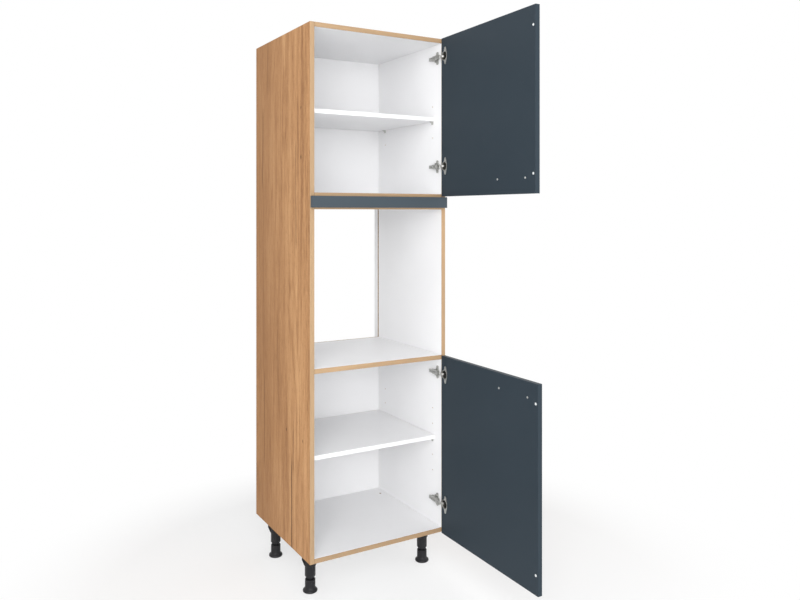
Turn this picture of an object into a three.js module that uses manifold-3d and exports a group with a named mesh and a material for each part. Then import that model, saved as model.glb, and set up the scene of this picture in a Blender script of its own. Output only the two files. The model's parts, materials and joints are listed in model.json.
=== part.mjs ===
// A tall kitchen unit that houses a built-in oven: an upper cupboard, an open niche and a lower cupboard,
// each cupboard with one shelf and one slab door on concealed cup hinges, standing on four levelling legs.
// Millimetres. X runs to the right, Y to the back and Z up. While the pieces are made, 0, 0, 0 is the floor
// under the middle of the carcase's front edge. At the end the unit moves so that its origin is on the
// floor, under the middle of its box as it stands with both doors open.

import * as THREE from 'three';
import { mergeVertices } from 'three/addons/utils/BufferGeometryUtils.js';
import Module from 'manifold-3d';

const wasm = await Module();
wasm.setup();

// ---------------------------------------------------------------- driving dimensions

// Carcase
const CARCASE_WIDTH = 600;
const CARCASE_DEPTH = 560;
const CARCASE_HEIGHT = 2000;
const LEG_HEIGHT = 150; // floor to the underside of the carcase
const BOARD = 18;
const EDGE_RADIUS = 1; // rounding of the edging on every front edge
const SEAT = 0.3; // clearance between two pieces that sit on or in each other

// Fixed boards between the sides
const OVEN_SHELF_HEIGHT = 718; // carcase underside to the top of the oven shelf
const NICHE_HEIGHT = 590; // oven shelf to the underside of the front rail
const RAIL_HEIGHT = 44;

// Back boards, held in grooves
const BACK_BOARD = 8;
const BACK_INSET = 31; // rear face of the backs, in from the carcase's rear edge
const GROOVE_DEPTH = 8;

// Adjustable shelves and the rows of pin holes that carry them
const SHELF_BOARD = 16;
const SHELF_SETBACK = 50; // front edge of a shelf, behind the carcase's front edge
const SHELF_SIDE_PLAY = 1;
const SHELF_REAR_PLAY = 2;
const PIN_RADIUS = 2.5;
const PIN_HOLE_DEPTH = 12;
const PIN_PITCH = 64;
const PIN_FRONT_SETBACK = 66;
const PIN_REAR_SETBACK = 101; // rear row, in from the carcase's rear edge
const LOWER_PINS = { above: 1.8, count: 5, used: 2 }; // middle hole above the middle of the cupboard
const UPPER_PINS = { above: -8.5, count: 3, used: 1 };

// Doors and trim
const DOOR_SIDE_REVEAL = 2; // door's edges, in from the carcase's outer faces
const DOOR_BOARD = 18;
const DOOR_GAP = 2; // carcase to the inner face of a closed door
const DOOR_REVEAL = 1; // lower door, short of the carcase underside and of the oven shelf's top
const UPPER_DOOR_LAP = 9.5; // upper door, below the top of the upper fixed shelf
const UPPER_DOOR_REVEAL = 1.5; // upper door, short of the carcase top
const TRIM_HEIGHT = 43;
const TRIM_GAP = 3; // trim strip to the upper door
const DOOR_EDGE_RADIUS = 1.5;
const UPPER_DOOR_OPEN = 88; // degrees that the doors stand open
const LOWER_DOOR_OPEN = 89;

// Door bumpers
const BUMPER_RADIUS = 5;
const BUMPER_HEIGHT = 1.5;
const BUMPER_EDGE_INSET = 12;
const BUMPER_END_INSET = 68;

// Handles
const HANDLE_CENTRES = 160;
const HANDLE_EDGE_INSET = 56; // nearest screw to the door's free edge
const HANDLE_END_INSET = 55; // screws to the door's lower or upper end
const HANDLE_PROJECTION = 30;
const HANDLE_THICKNESS = 7;
const HANDLE_WIDTH = 12;
const HANDLE_FOOT = 14;
const SCREW_RADIUS = 2;
const SCREW_HEAD_RADIUS = 4.2;
const SCREW_HEAD_HEIGHT = 1.5;
const SCREW_GRIP = 8; // length of screw inside the handle's foot

// Concealed hinges. Plan places are measured from the right side panel's inner front corner.
const HINGE_TOP_INSET = 73; // door's top end to the upper hinge
const HINGE_BOTTOM_INSET = 122;
const POLE_OFFSET = 8.5; // the point that a door swings about, out from the side panel's inner face
const POLE_DEPTH = 16; // and below the door's inner face
const CUP_OFFSET = 6.5; // cup centre of a closed door, in from the side panel's inner face
const CUP_RADIUS = 17.5;
const CUP_WALL = 0.7;
const CUP_DEPTH = 12.5;
const FLANGE_THICKNESS = 1.1;
const FLANGE_HEIGHT = 70;
const FLANGE_WIDTH = 24; // where the wings leave the cup
const FLANGE_ROOT = 18; // height of that widest part
const FLANGE_TIP_RADIUS = 6;
const FLANGE_RIM = 1.5; // width of the flange round the cup
const FLANGE_OFFSET = 6.5; // the flange's wings sit this much further from the door's edge than the cup
const ARM_PIVOT = new THREE.Vector2(-16.5, -9.3);
const ARM_LENGTH = 82; // pivot to the rear end of the arm
const ARM_WIDTH = 18;
const NOSE_WIDTH = 14;
const ARM_SHEET = 1.5;
const NOSE_RADIUS = 3.2;
const PIVOT_PIN_RADIUS = 1.2;
const LINK_REACH = new THREE.Vector2(20, 3); // pivot to the link's free end, with the door closed
const LINK_HOOK = [[0, 0], [8, -1.9], [15, -2.5], [18.1, -1.1], [19.3, 1]]
  .map(([x, y]) => new THREE.Vector2(x, y)); // the link's middle line, up to its free end
const LINK_TURN = -0.49; // degrees the link turns for each degree of the door
const LINK_WIDTH = 8;
const LINK_THICKNESS = 2.2;
const LINK_EYE_RADIUS = 2.9;
const PLATE_SETBACK = 28; // screw line of the mounting plate behind the carcase's front edge
const PLATE_THICKNESS = 2.5;
const PLATE_SCREW_PITCH = 32;

// Legs
const LEG_SIDE_INSET = 47;
const LEG_FRONT_INSET = 103;
const LEG_REAR_INSET = 106;
const LEG_TUBE_RADIUS = 20.5;
const LEG_WALL = 3;
const LEG_NECK_RADIUS = 14;
const LEG_SOCKET_RADIUS = 24; // the socket under the flange, round the upper end of the tube
const LEG_SOCKET_HEIGHT = 40;
const LEG_FLANGE_SIZE = 72;
const LEG_FLANGE_THICKNESS = 4;
const LEG_RIB = 3;
const FOOT_RIM = 8.5; // how far the foot's base stands out past its collar
const FOOT_HEIGHT = 48;
const FOOT_PLAY = 0.4;
const FOOT_WALL = 5.6;
const FOOT_TO_TAPER = 4; // neck left in view between the foot and the tube's taper
const LEG_TAPER = 9; // height over which the tube narrows to its neck
const ADJUSTER_HOLE_RADIUS = 5;

// ---------------------------------------------------------------- heights and lines that follow from them

const carcaseBottom = LEG_HEIGHT;
const carcaseTop = LEG_HEIGHT + CARCASE_HEIGHT;
const ovenShelfTop = carcaseBottom + OVEN_SHELF_HEIGHT;
const railBottom = ovenShelfTop + NICHE_HEIGHT;
const upperShelfBottom = railBottom + RAIL_HEIGHT;
const upperShelfTop = upperShelfBottom + BOARD;
const innerHalf = CARCASE_WIDTH / 2 - BOARD; // middle to a side panel's inner face
const backFront = CARCASE_DEPTH - BACK_INSET - BACK_BOARD; // front face of the back boards
const lowerCupboard = [carcaseBottom + BOARD, ovenShelfTop - BOARD]; // clear heights inside
const upperCupboard = [upperShelfTop, carcaseTop - BOARD];
const doorEdge = CARCASE_WIDTH / 2 - DOOR_SIDE_REVEAL;
const doorWidth = 2 * doorEdge;
const pinLines = [PIN_FRONT_SETBACK, CARCASE_DEPTH - PIN_REAR_SETBACK];

// ---------------------------------------------------------------- finishes

const finish = (color, roughness, metalness = 0) =>
  new THREE.MeshStandardMaterial({ color, roughness, metalness });
const finishes = {
  oak: finish(0xbd9069, 0.6),
  white: finish(0xe8e8e8, 0.45),
  lacquer: finish(0x434c54, 0.4),
  nickel: finish(0xb0b1ac, 0.35, 1),
  steel: finish(0xc4c5c4, 0.3, 1),
  blackPlastic: finish(0x2b2c2e, 0.5),
  clearPlastic: finish(0xe6e8e8, 0.4),
};

// ---------------------------------------------------------------- solids

// A three.js geometry as a solid that can be cut and joined.
function solid(geometry) {
  const bare = geometry.index ? geometry.toNonIndexed() : geometry.clone();
  bare.deleteAttribute('normal');
  bare.deleteAttribute('uv');
  const merged = mergeVertices(bare, 1e-4);
  const corners = merged.index.array;
  const kept = [];
  for (let i = 0; i < corners.length; i += 3) {
    const [a, b, c] = corners.slice(i, i + 3);
    if (a !== b && b !== c && c !== a) kept.push(a, b, c);
  }
  return new wasm.Manifold(new wasm.Mesh({
    numProp: 3,
    vertProperties: merged.attributes.position.array,
    triVerts: new Uint32Array(kept),
  }));
}

// A solid as a three.js geometry with flat shading.
function geometryOf(body) {
  const mesh = body.getMesh();
  const geometry = new THREE.BufferGeometry();
  geometry.setAttribute('position', new THREE.BufferAttribute(mesh.vertProperties, 3));
  geometry.setIndex(new THREE.BufferAttribute(mesh.triVerts, 1));
  const flat = geometry.toNonIndexed();
  flat.computeVertexNormals();
  return flat;
}

// A block between two corners.
function block([x0, y0, z0], [x1, y1, z1]) {
  const box = new THREE.BoxGeometry(x1 - x0, y1 - y0, z1 - z0);
  return solid(box.translate((x0 + x1) / 2, (y0 + y1) / 2, (z0 + z1) / 2));
}

// Turns that carry an outline's own x and y, and its extrusion, to the model's axes.
const turns = {
  x: new THREE.Matrix4().makeBasis(
    new THREE.Vector3(0, 1, 0), new THREE.Vector3(0, 0, 1), new THREE.Vector3(1, 0, 0)),
  y: new THREE.Matrix4().makeBasis(
    new THREE.Vector3(1, 0, 0), new THREE.Vector3(0, 0, 1), new THREE.Vector3(0, -1, 0)),
  z: new THREE.Matrix4(),
};

// An outline extruded along an axis from one value to another. It is drawn in Y and Z for the x axis,
// in X and Z for the y axis, and in X and Y for the z axis.
function prism(outline, axis, from, to, curveSegments = 2) {
  const options = { depth: to - from, bevelEnabled: false, curveSegments };
  const geometry = new THREE.ExtrudeGeometry(outline, options).applyMatrix4(turns[axis]);
  const start = axis === 'y' ? to : from;
  geometry.translate(axis === 'x' ? start : 0, axis === 'y' ? start : 0, axis === 'z' ? start : 0);
  return solid(geometry);
}

// A profile of [radius, height] pairs turned round the Z axis, from the bottom up.
function turned(profile, segments = 18) {
  const points = profile.map(([radius, height]) => new THREE.Vector2(radius, height));
  return solid(new THREE.LatheGeometry(points, segments).rotateX(Math.PI / 2));
}

// A round rod along an axis, centred on the other two coordinates of its middle.
function rod(radius, length, axis, [x, y, z], segments = 16) {
  const cylinder = new THREE.CylinderGeometry(radius, radius, length, segments);
  if (axis === 'x') cylinder.rotateZ(Math.PI / 2);
  if (axis === 'z') cylinder.rotateX(Math.PI / 2);
  return solid(cylinder.translate(x, y, z));
}

// A shape with straight sides through the points given.
function outlineOf(points) {
  return new THREE.Shape(points.map(([x, y]) => new THREE.Vector2(x, y)));
}

// A rectangle with rounded corners, round the middle given.
function roundedRectangle(width, height, radius, middleX = 0, middleY = 0) {
  const [left, right] = [middleX - width / 2, middleX + width / 2];
  const [low, high] = [middleY - height / 2, middleY + height / 2];
  const shape = new THREE.Shape();
  shape.moveTo(left + radius, low);
  shape.lineTo(right - radius, low);
  shape.absarc(right - radius, low + radius, radius, -Math.PI / 2, 0);
  shape.lineTo(right, high - radius);
  shape.absarc(right - radius, high - radius, radius, 0, Math.PI / 2);
  shape.lineTo(left + radius, high);
  shape.absarc(left + radius, high - radius, radius, Math.PI / 2, Math.PI);
  shape.lineTo(left, low + radius);
  shape.absarc(left + radius, low + radius, radius, Math.PI, Math.PI * 1.5);
  return shape;
}

// The outline of a board seen from its end: the front edge, at depthFrom, has rounded corners. The first
// coordinate runs along the depth and the second across the thickness, or swapped.
function boardOutline(depthFrom, depthTo, faceLow, faceHigh, swapped = false) {
  const r = EDGE_RADIUS;
  const put = (along, across) => new THREE.Vector2(...(swapped ? [across, along] : [along, across]));
  const points = [put(depthTo, faceLow), put(depthTo, faceHigh)];
  for (const [across, start] of [[faceHigh - r, 0], [faceLow + r, Math.PI / 2]]) {
    for (let step = 0; step <= 2; step += 1) {
      const angle = start + (step * Math.PI) / 4;
      points.push(put(depthFrom + r - r * Math.sin(angle), across + r * Math.cos(angle)));
    }
  }
  return new THREE.Shape(points);
}

// ---------------------------------------------------------------- the scene graph

const unit = new THREE.Group();
const carcase = new THREE.Group();
unit.add(carcase);

// Adds a named piece to a group.
function place(group, name, body, material, position = [0, 0, 0]) {
  const mesh = new THREE.Mesh(geometryOf(body), material);
  mesh.name = name;
  mesh.position.set(...position);
  group.add(mesh);
}

// ---------------------------------------------------------------- carcase boards

// A horizontal board between the sides, with its edging in front.
function levelBoard(depth, bottom, thickness, halfWidth) {
  return prism(boardOutline(0, depth, bottom, bottom + thickness), 'x', -halfWidth, halfWidth);
}

// The groove for the back boards in a board's face, as a block to cut away.
function backGroove(low, high) {
  return block([low[0], backFront - SEAT, low[1]], [high[0], backFront + BACK_BOARD + SEAT, high[1]]);
}

// Heights of one cupboard's pin holes, spaced evenly about a middle one.
function pinHeights({ above, count }, [low, high]) {
  const middle = (low + high) / 2 + above;
  return Array.from({ length: count }, (_, i) => middle + (i - (count - 1) / 2) * PIN_PITCH);
}

// One side panel, at side -1 on the left or 1 on the right, grooved and drilled on its inner face.
function sidePanel(side) {
  const [inner, outer] = [side * innerHalf, (side * CARCASE_WIDTH) / 2];
  const outline = boardOutline(0, CARCASE_DEPTH, Math.min(inner, outer), Math.max(inner, outer), true);
  let panel = prism(outline, 'z', carcaseBottom, carcaseTop);
  const grooveFloor = side * (innerHalf + GROOVE_DEPTH);
  const grooveMouth = side * (innerHalf - 1);
  panel = panel.subtract(backGroove(
    [Math.min(grooveFloor, grooveMouth), carcaseBottom - 1],
    [Math.max(grooveFloor, grooveMouth), carcaseTop + 1]));
  const heights = [...pinHeights(LOWER_PINS, lowerCupboard), ...pinHeights(UPPER_PINS, upperCupboard)];
  for (const y of pinLines) {
    for (const z of heights) {
      const middle = [side * innerHalf, y, z];
      panel = panel.subtract(rod(PIN_RADIUS, 2 * PIN_HOLE_DEPTH, 'x', middle, 8));
    }
  }
  return panel;
}

place(carcase, 'side_panel_left', sidePanel(-1), finishes.oak);
place(carcase, 'side_panel_right', sidePanel(1), finishes.oak);

const boardHalf = innerHalf - SEAT;
const grooveSpan = innerHalf + 1;
place(carcase, 'top_panel',
  levelBoard(CARCASE_DEPTH, carcaseTop - BOARD, BOARD, boardHalf).subtract(backGroove(
    [-grooveSpan, carcaseTop - BOARD - 1], [grooveSpan, carcaseTop - BOARD + GROOVE_DEPTH])),
  finishes.oak);

// The bottom panel has a hole over each rear leg, through which the leg is turned up or down.
const legPlaces = {
  front_left: [-CARCASE_WIDTH / 2 + LEG_SIDE_INSET, LEG_FRONT_INSET],
  front_right: [CARCASE_WIDTH / 2 - LEG_SIDE_INSET, LEG_FRONT_INSET],
  rear_left: [-CARCASE_WIDTH / 2 + LEG_SIDE_INSET, CARCASE_DEPTH - LEG_REAR_INSET],
  rear_right: [CARCASE_WIDTH / 2 - LEG_SIDE_INSET, CARCASE_DEPTH - LEG_REAR_INSET],
};
let bottomPanel = levelBoard(CARCASE_DEPTH, carcaseBottom, BOARD, boardHalf).subtract(backGroove(
  [-grooveSpan, carcaseBottom + BOARD - GROOVE_DEPTH], [grooveSpan, carcaseBottom + BOARD + 1]));
for (const [x, y] of [legPlaces.rear_left, legPlaces.rear_right]) {
  bottomPanel = bottomPanel.subtract(rod(ADJUSTER_HOLE_RADIUS, 4 * BOARD, 'z', [x, y, carcaseBottom]));
}
place(carcase, 'bottom_panel', bottomPanel, finishes.oak);

const fixedShelfDepth = backFront - SEAT;
place(carcase, 'oven_shelf',
  levelBoard(fixedShelfDepth, ovenShelfTop - BOARD, BOARD, boardHalf), finishes.white);
place(carcase, 'upper_fixed_shelf',
  levelBoard(fixedShelfDepth, upperShelfBottom, BOARD, boardHalf), finishes.white);
place(carcase, 'front_rail',
  levelBoard(BOARD, railBottom, RAIL_HEIGHT - SEAT, boardHalf), finishes.oak);

// The backs end in the grooves of the sides, the top and the bottom, and leave the niche open.
const backHalf = innerHalf + GROOVE_DEPTH - SEAT;
function backPanel(low, high) {
  return block([-backHalf, backFront, low], [backHalf, backFront + BACK_BOARD, high]);
}
place(carcase, 'back_panel_upper',
  backPanel(upperShelfBottom, carcaseTop - BOARD + GROOVE_DEPTH - SEAT), finishes.white);
place(carcase, 'back_panel_lower',
  backPanel(carcaseBottom + BOARD - GROOVE_DEPTH + SEAT, ovenShelfTop), finishes.white);

// ---------------------------------------------------------------- adjustable shelves and their supports

const SUPPORT_WIDTH = 12;
const SUPPORT_SHEET = 2;
const SUPPORT_LEDGE = 13;
const SUPPORT_DROP = 9;
const LEDGE_TOP = 3; // top of the ledge above the pin's centre
const PIN_GRIP = 9; // length of pin inside its hole
const PIN_PLAY = 0.2;

// An angle bracket on a pin, drawn for the left side panel: the ledge carries the shelf's edge. The
// ledge is braced by a web under it.
function shelfSupport() {
  const angle = outlineOf([
    [0, -SUPPORT_DROP], [SUPPORT_SHEET, -SUPPORT_DROP], [SUPPORT_SHEET, LEDGE_TOP - SUPPORT_SHEET],
    [SUPPORT_LEDGE, LEDGE_TOP - SUPPORT_SHEET], [SUPPORT_LEDGE, LEDGE_TOP], [0, LEDGE_TOP],
  ]);
  const web = outlineOf([
    [0, -SUPPORT_DROP], [SUPPORT_SHEET, -SUPPORT_DROP], [SUPPORT_LEDGE - 1, LEDGE_TOP - SUPPORT_SHEET],
    [SUPPORT_LEDGE - 1, LEDGE_TOP - 0.5], [0, LEDGE_TOP - 0.5],
  ]);
  const middle = SUPPORT_SHEET / 2;
  return prism(angle, 'y', -SUPPORT_WIDTH / 2, SUPPORT_WIDTH / 2)
    .add(prism(web, 'y', -middle, middle))
    .add(rod(PIN_RADIUS - PIN_PLAY, PIN_GRIP + 1, 'x', [1 - (PIN_GRIP + 1) / 2, 0, 0], 8));
}

const leftSupport = shelfSupport();
const rightSupport = leftSupport.mirror([1, 0, 0]);

// One adjustable shelf with its four supports.
function adjustableShelf(name, pins, cupboard) {
  const pinHeight = pinHeights(pins, cupboard)[pins.used];
  const underside = pinHeight + LEDGE_TOP + SEAT;
  const halfWidth = innerHalf - SHELF_SIDE_PLAY;
  const depthTo = backFront - SHELF_REAR_PLAY;
  const outline = boardOutline(SHELF_SETBACK, depthTo, underside, underside + SHELF_BOARD);
  place(carcase, `${name}_shelf`, prism(outline, 'x', -halfWidth, halfWidth), finishes.white);
  pinLines.forEach((y, row) => {
    const where = row === 0 ? 'front' : 'rear';
    const inset = innerHalf - SEAT;
    place(carcase, `${name}_shelf_support_${where}_left`, leftSupport, finishes.nickel,
      [-inset, y, pinHeight]);
    place(carcase, `${name}_shelf_support_${where}_right`, rightSupport, finishes.nickel,
      [inset, y, pinHeight]);
  });
}

adjustableShelf('upper', UPPER_PINS, upperCupboard);
adjustableShelf('lower', LOWER_PINS, lowerCupboard);

// ---------------------------------------------------------------- legs and levelling feet

const stemBottom = 10; // lower end of the leg's stem, inside the foot
const taperBottom = FOOT_HEIGHT + FOOT_TO_TAPER;
const taperTop = taperBottom + LEG_TAPER;
const tubeTop = carcaseBottom - SEAT;
const flangeBottom = tubeTop - LEG_FLANGE_THICKNESS;
const socketBottom = tubeTop - LEG_SOCKET_HEIGHT;

// A leg: a flange with four screw bosses under the bottom panel, the ribbed socket that holds the tube,
// the tube that tapers to a neck, and the stem that the foot turns on. The tube is open on top.
function legTube() {
  const innerRadius = LEG_TUBE_RADIUS - LEG_WALL;
  let leg = turned([
    [0, stemBottom], [LEG_NECK_RADIUS - 1, stemBottom], [LEG_NECK_RADIUS, stemBottom + 1],
    [LEG_NECK_RADIUS, taperBottom], [LEG_TUBE_RADIUS, taperTop], [LEG_TUBE_RADIUS, socketBottom],
    [LEG_SOCKET_RADIUS - 1, socketBottom], [LEG_SOCKET_RADIUS, socketBottom + 2],
    [LEG_SOCKET_RADIUS, tubeTop], [innerRadius, tubeTop], [innerRadius, taperTop + LEG_WALL],
    [0, taperTop + LEG_WALL],
  ]);
  const size = LEG_FLANGE_SIZE;
  const bore = rod(innerRadius, 4 * LEG_FLANGE_THICKNESS, 'z', [0, 0, tubeTop], 18);
  const flange = prism(roundedRectangle(size, size, 12), 'z', flangeBottom, tubeTop).subtract(bore);
  leg = leg.add(flange);
  const [root, reach] = [LEG_SOCKET_RADIUS - 1, size / 2 - 2];
  const gusset = outlineOf([
    [root, flangeBottom + 1], [reach, flangeBottom + 1], [reach, flangeBottom - 16],
    [LEG_SOCKET_RADIUS + 1, socketBottom + 4], [root, socketBottom + 4],
  ]);
  const rib = prism(gusset, 'y', -LEG_RIB / 2, LEG_RIB / 2);
  for (let quarter = 0; quarter < 4; quarter += 1) leg = leg.add(rib.rotate([0, 0, 90 * quarter]));
  const bossRadius = 4.5;
  const bossPlace = size / 2 - 9;
  for (const [x, y] of [[-1, -1], [1, -1], [-1, 1], [1, 1]]) {
    const middle = [x * bossPlace, y * bossPlace, flangeBottom - 2];
    leg = leg.add(rod(bossRadius, 6, 'z', middle, 8));
  }
  return leg;
}

// A foot: a broad rounded base and a collar whose bore takes the leg's stem. The bore is countersunk.
function levellingFoot() {
  const bore = LEG_NECK_RADIUS + FOOT_PLAY;
  const collar = bore + FOOT_WALL;
  const base = collar + FOOT_RIM;
  const boreFloor = stemBottom - 5;
  return turned([
    [0, 0], [base - 4, 0], [base - 1, 2], [base, 5], [base - 1.5, 8.5], [collar + 1.5, 14], [collar, 17],
    [collar, FOOT_HEIGHT - 1.5], [collar - 1.5, FOOT_HEIGHT], [bore + 2.5, FOOT_HEIGHT],
    [bore, FOOT_HEIGHT - 4], [bore, boreFloor], [0, boreFloor],
  ]);
}

const tube = legTube();
const foot = levellingFoot();
for (const [where, [x, y]] of Object.entries(legPlaces)) {
  place(unit, `leg_${where}`, tube, finishes.blackPlastic, [x, y, 0]);
  place(unit, `levelling_foot_${where}`, foot, finishes.blackPlastic, [x, y, 0]);
}

// ---------------------------------------------------------------- hinges

// The outline of a cup's butterfly flange, round the cup's centre: two wings that taper to round tips.
function flangeOutline() {
  const [half, root] = [FLANGE_WIDTH / 2, FLANGE_ROOT / 2];
  const tip = FLANGE_HEIGHT / 2 - FLANGE_TIP_RADIUS;
  const wings = new THREE.Shape();
  wings.moveTo(half - FLANGE_OFFSET, -root);
  wings.lineTo(half - FLANGE_OFFSET, root);
  wings.absarc(-FLANGE_OFFSET, tip, FLANGE_TIP_RADIUS, 0, Math.PI);
  wings.lineTo(-half - FLANGE_OFFSET, root);
  wings.lineTo(-half - FLANGE_OFFSET, -root);
  wings.absarc(-FLANGE_OFFSET, -tip, FLANGE_TIP_RADIUS, Math.PI, 2 * Math.PI);
  return wings;
}

// The cup and its flange, round the cup's centre on the door's inner face. Y points out of the door.
// Stub pins stand in from the cup's wall where the link's free end lies.
function hingeCup(stubX, stubY) {
  const rim = SEAT + FLANGE_THICKNESS;
  const innerRadius = CUP_RADIUS - CUP_WALL;
  const shell = turned([
    [0, -CUP_DEPTH], [CUP_RADIUS - 1, -CUP_DEPTH], [CUP_RADIUS, 1 - CUP_DEPTH], [CUP_RADIUS, rim],
    [innerRadius, rim], [innerRadius, CUP_WALL - CUP_DEPTH], [0, CUP_WALL - CUP_DEPTH],
  ], 24).rotate([-90, 0, 0]);
  const flange = prism(flangeOutline(), 'y', SEAT, rim, 4)
    .add(rod(CUP_RADIUS + FLANGE_RIM, FLANGE_THICKNESS, 'y', [0, (SEAT + rim) / 2, 0], 24))
    .subtract(rod(innerRadius, 4 * rim, 'y', [0, rim, 0], 24));
  const stubInner = LINK_WIDTH / 2 + 2 * SEAT;
  const stubLength = CUP_RADIUS - stubInner;
  let cup = shell.add(flange);
  const insideWall = rod(CUP_RADIUS - CUP_WALL / 2, 3 * CUP_DEPTH, 'y', [0, 0, 0], 24);
  for (const end of [-1, 1]) {
    const middle = [stubX, stubY, end * (stubInner + stubLength / 2)];
    cup = cup.add(rod(PIVOT_PIN_RADIUS, stubLength, 'z', middle, 8).intersect(insideWall));
  }
  return cup;
}

// The arm, round the side panel's inner front corner: a folded channel, open towards the panel, whose
// forked nose holds the link's pin. Two slots through its back take the fixing and the adjusting screw.
function hingeArm() {
  const { x: px, y: py } = ARM_PIVOT;
  const rear = py + ARM_LENGTH;
  const back = px + 1.5; // plan line of the channel's back over most of its length
  const outline = new THREE.Shape();
  outline.moveTo(px - NOSE_RADIUS, py);
  outline.absarc(px, py, NOSE_RADIUS, Math.PI, 2 * Math.PI);
  outline.lineTo(px + NOSE_RADIUS, 6);
  outline.lineTo(-8, 14);
  outline.lineTo(-6, 22);
  outline.lineTo(-6, rear - 8);
  outline.lineTo(-9, rear);
  outline.lineTo(back + 1.5, rear);
  outline.lineTo(back, rear - 3);
  outline.lineTo(back, 24);
  outline.lineTo(px - NOSE_RADIUS, 12);
  let arm = prism(outline, 'z', -ARM_WIDTH / 2, ARM_WIDTH / 2);
  const channel = outlineOf([
    [px - NOSE_RADIUS - 1, py - NOSE_RADIUS - 1], [0, py - NOSE_RADIUS - 1], [0, rear - ARM_SHEET],
    [back + ARM_SHEET, rear - ARM_SHEET], [back + ARM_SHEET, 24.5],
    [px - NOSE_RADIUS + ARM_SHEET, 12.5], [px - NOSE_RADIUS + ARM_SHEET, -1], [px - NOSE_RADIUS - 1, -1],
  ]);
  const clear = NOSE_WIDTH / 2 - ARM_SHEET - 0.9;
  arm = arm.subtract(prism(channel, 'z', -clear, clear));
  // The channel narrows to the nose in front and a little towards its rear end.
  const [half, nose, tail] = [ARM_WIDTH / 2, NOSE_WIDTH / 2, ARM_WIDTH / 2 - 2.5];
  const waist = [
    [py - 5, -nose], [6, -nose], [16, -half], [rear - 30, -half], [rear - 22, -tail], [rear + 1, -tail],
    [rear + 1, tail], [rear - 22, tail], [rear - 30, half], [16, half], [6, nose], [py - 5, nose],
  ];
  arm = arm.intersect(prism(outlineOf(waist), 'x', -30, 0));
  arm = arm.subtract(rod(2.8, 8, 'x', [back, rear - 22, 0], 10));
  arm = arm.subtract(prism(roundedRectangle(13, 5, 2.4, rear - 41, 0), 'x', back - 2, back + 3));
  return arm.add(rod(PIVOT_PIN_RADIUS, NOSE_WIDTH - 1, 'z', [px, py, 0], 10));
}

// The link, round the arm's pin with the door closed: an eye, and a hooked bar that goes over the door's
// edge into the cup. The bar follows a smooth curve at an even thickness.
function hingeLink() {
  const half = LINK_THICKNESS / 2;
  const curve = new THREE.SplineCurve([...LINK_HOOK, LINK_REACH]);
  const stations = Array.from({ length: 12 }, (_, i) => i / 11);
  const side = (direction) => stations.map((t) => {
    const along = curve.getTangentAt(t);
    return curve.getPointAt(t).add(new THREE.Vector2(-along.y, along.x).multiplyScalar(direction * half));
  });
  const bar = new THREE.Shape([...side(-1), ...side(1).reverse()]);
  const w = LINK_WIDTH / 2;
  return prism(bar, 'z', -w, w)
    .add(rod(LINK_EYE_RADIUS, 2 * w, 'z', [0, 0, 0], 12))
    .add(rod(half, 2 * w, 'z', [LINK_REACH.x, LINK_REACH.y, 0], 10))
    .subtract(rod(PIVOT_PIN_RADIUS + 0.35, 2 * w + 2, 'z', [0, 0, 0], 10));
}

// The cruciform mounting plate on the side panel, with a base under the arm and a wing above and below
// for its two screws. The eccentric that sets the height stands beside the arm, at side -1 or 1.
function mountingPlate(side) {
  const thick = PLATE_THICKNESS;
  const wingHeight = PLATE_SCREW_PITCH + 20;
  const wings = roundedRectangle(15, wingHeight, 6, PLATE_SETBACK, 0);
  const base = roundedRectangle(50, 15, 3, PLATE_SETBACK + 12, 0);
  const outer = -SEAT;
  const hub = roundedRectangle(22, 21, 4, PLATE_SETBACK + 2, 0);
  let plate = prism(wings, 'x', outer - thick, outer)
    .add(prism(base, 'x', outer - thick, outer, 1))
    .add(prism(hub, 'x', outer - thick - 1.5, outer, 1));
  for (const end of [-1, 1]) {
    const boss = [outer - thick, PLATE_SETBACK, (end * PLATE_SCREW_PITCH) / 2];
    plate = plate.add(rod(5.6, 2.4, 'x', boss, 12)).subtract(rod(2.2, 40, 'x', boss, 8));
  }
  return plate.add(rod(4, 4.5, 'x', [outer - 2.5, PLATE_SETBACK + 12, side * 12.5], 10));
}

const arm = hingeArm();
const link = hingeLink();

// ---------------------------------------------------------------- doors

const pole = new THREE.Vector2(innerHalf + POLE_OFFSET, -DOOR_GAP - POLE_DEPTH);
const cupFromPole = -CUP_OFFSET - POLE_OFFSET;

// A door's slab round its pole, closed, from its lower end up: a rounded slab with two cup bores and
// two screw holes.
function doorSlab(height, hingeHeights, screwPlaces) {
  const [outer, inner] = [POLE_DEPTH - DOOR_BOARD, POLE_DEPTH];
  const plan = roundedRectangle(doorWidth, DOOR_BOARD, DOOR_EDGE_RADIUS, -pole.x, (inner + outer) / 2);
  let slab = prism(plan, 'z', 0, height);
  const boreDepth = CUP_DEPTH + SEAT;
  for (const z of hingeHeights) {
    const middle = [cupFromPole, inner, z];
    slab = slab.subtract(rod(CUP_RADIUS + SEAT, 2 * boreDepth, 'y', middle, 24));
  }
  for (const [x, z] of screwPlaces) {
    slab = slab.subtract(rod(SCREW_RADIUS + SEAT, 3 * DOOR_BOARD, 'y', [x, inner, z], 8));
  }
  return slab;
}

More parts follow.
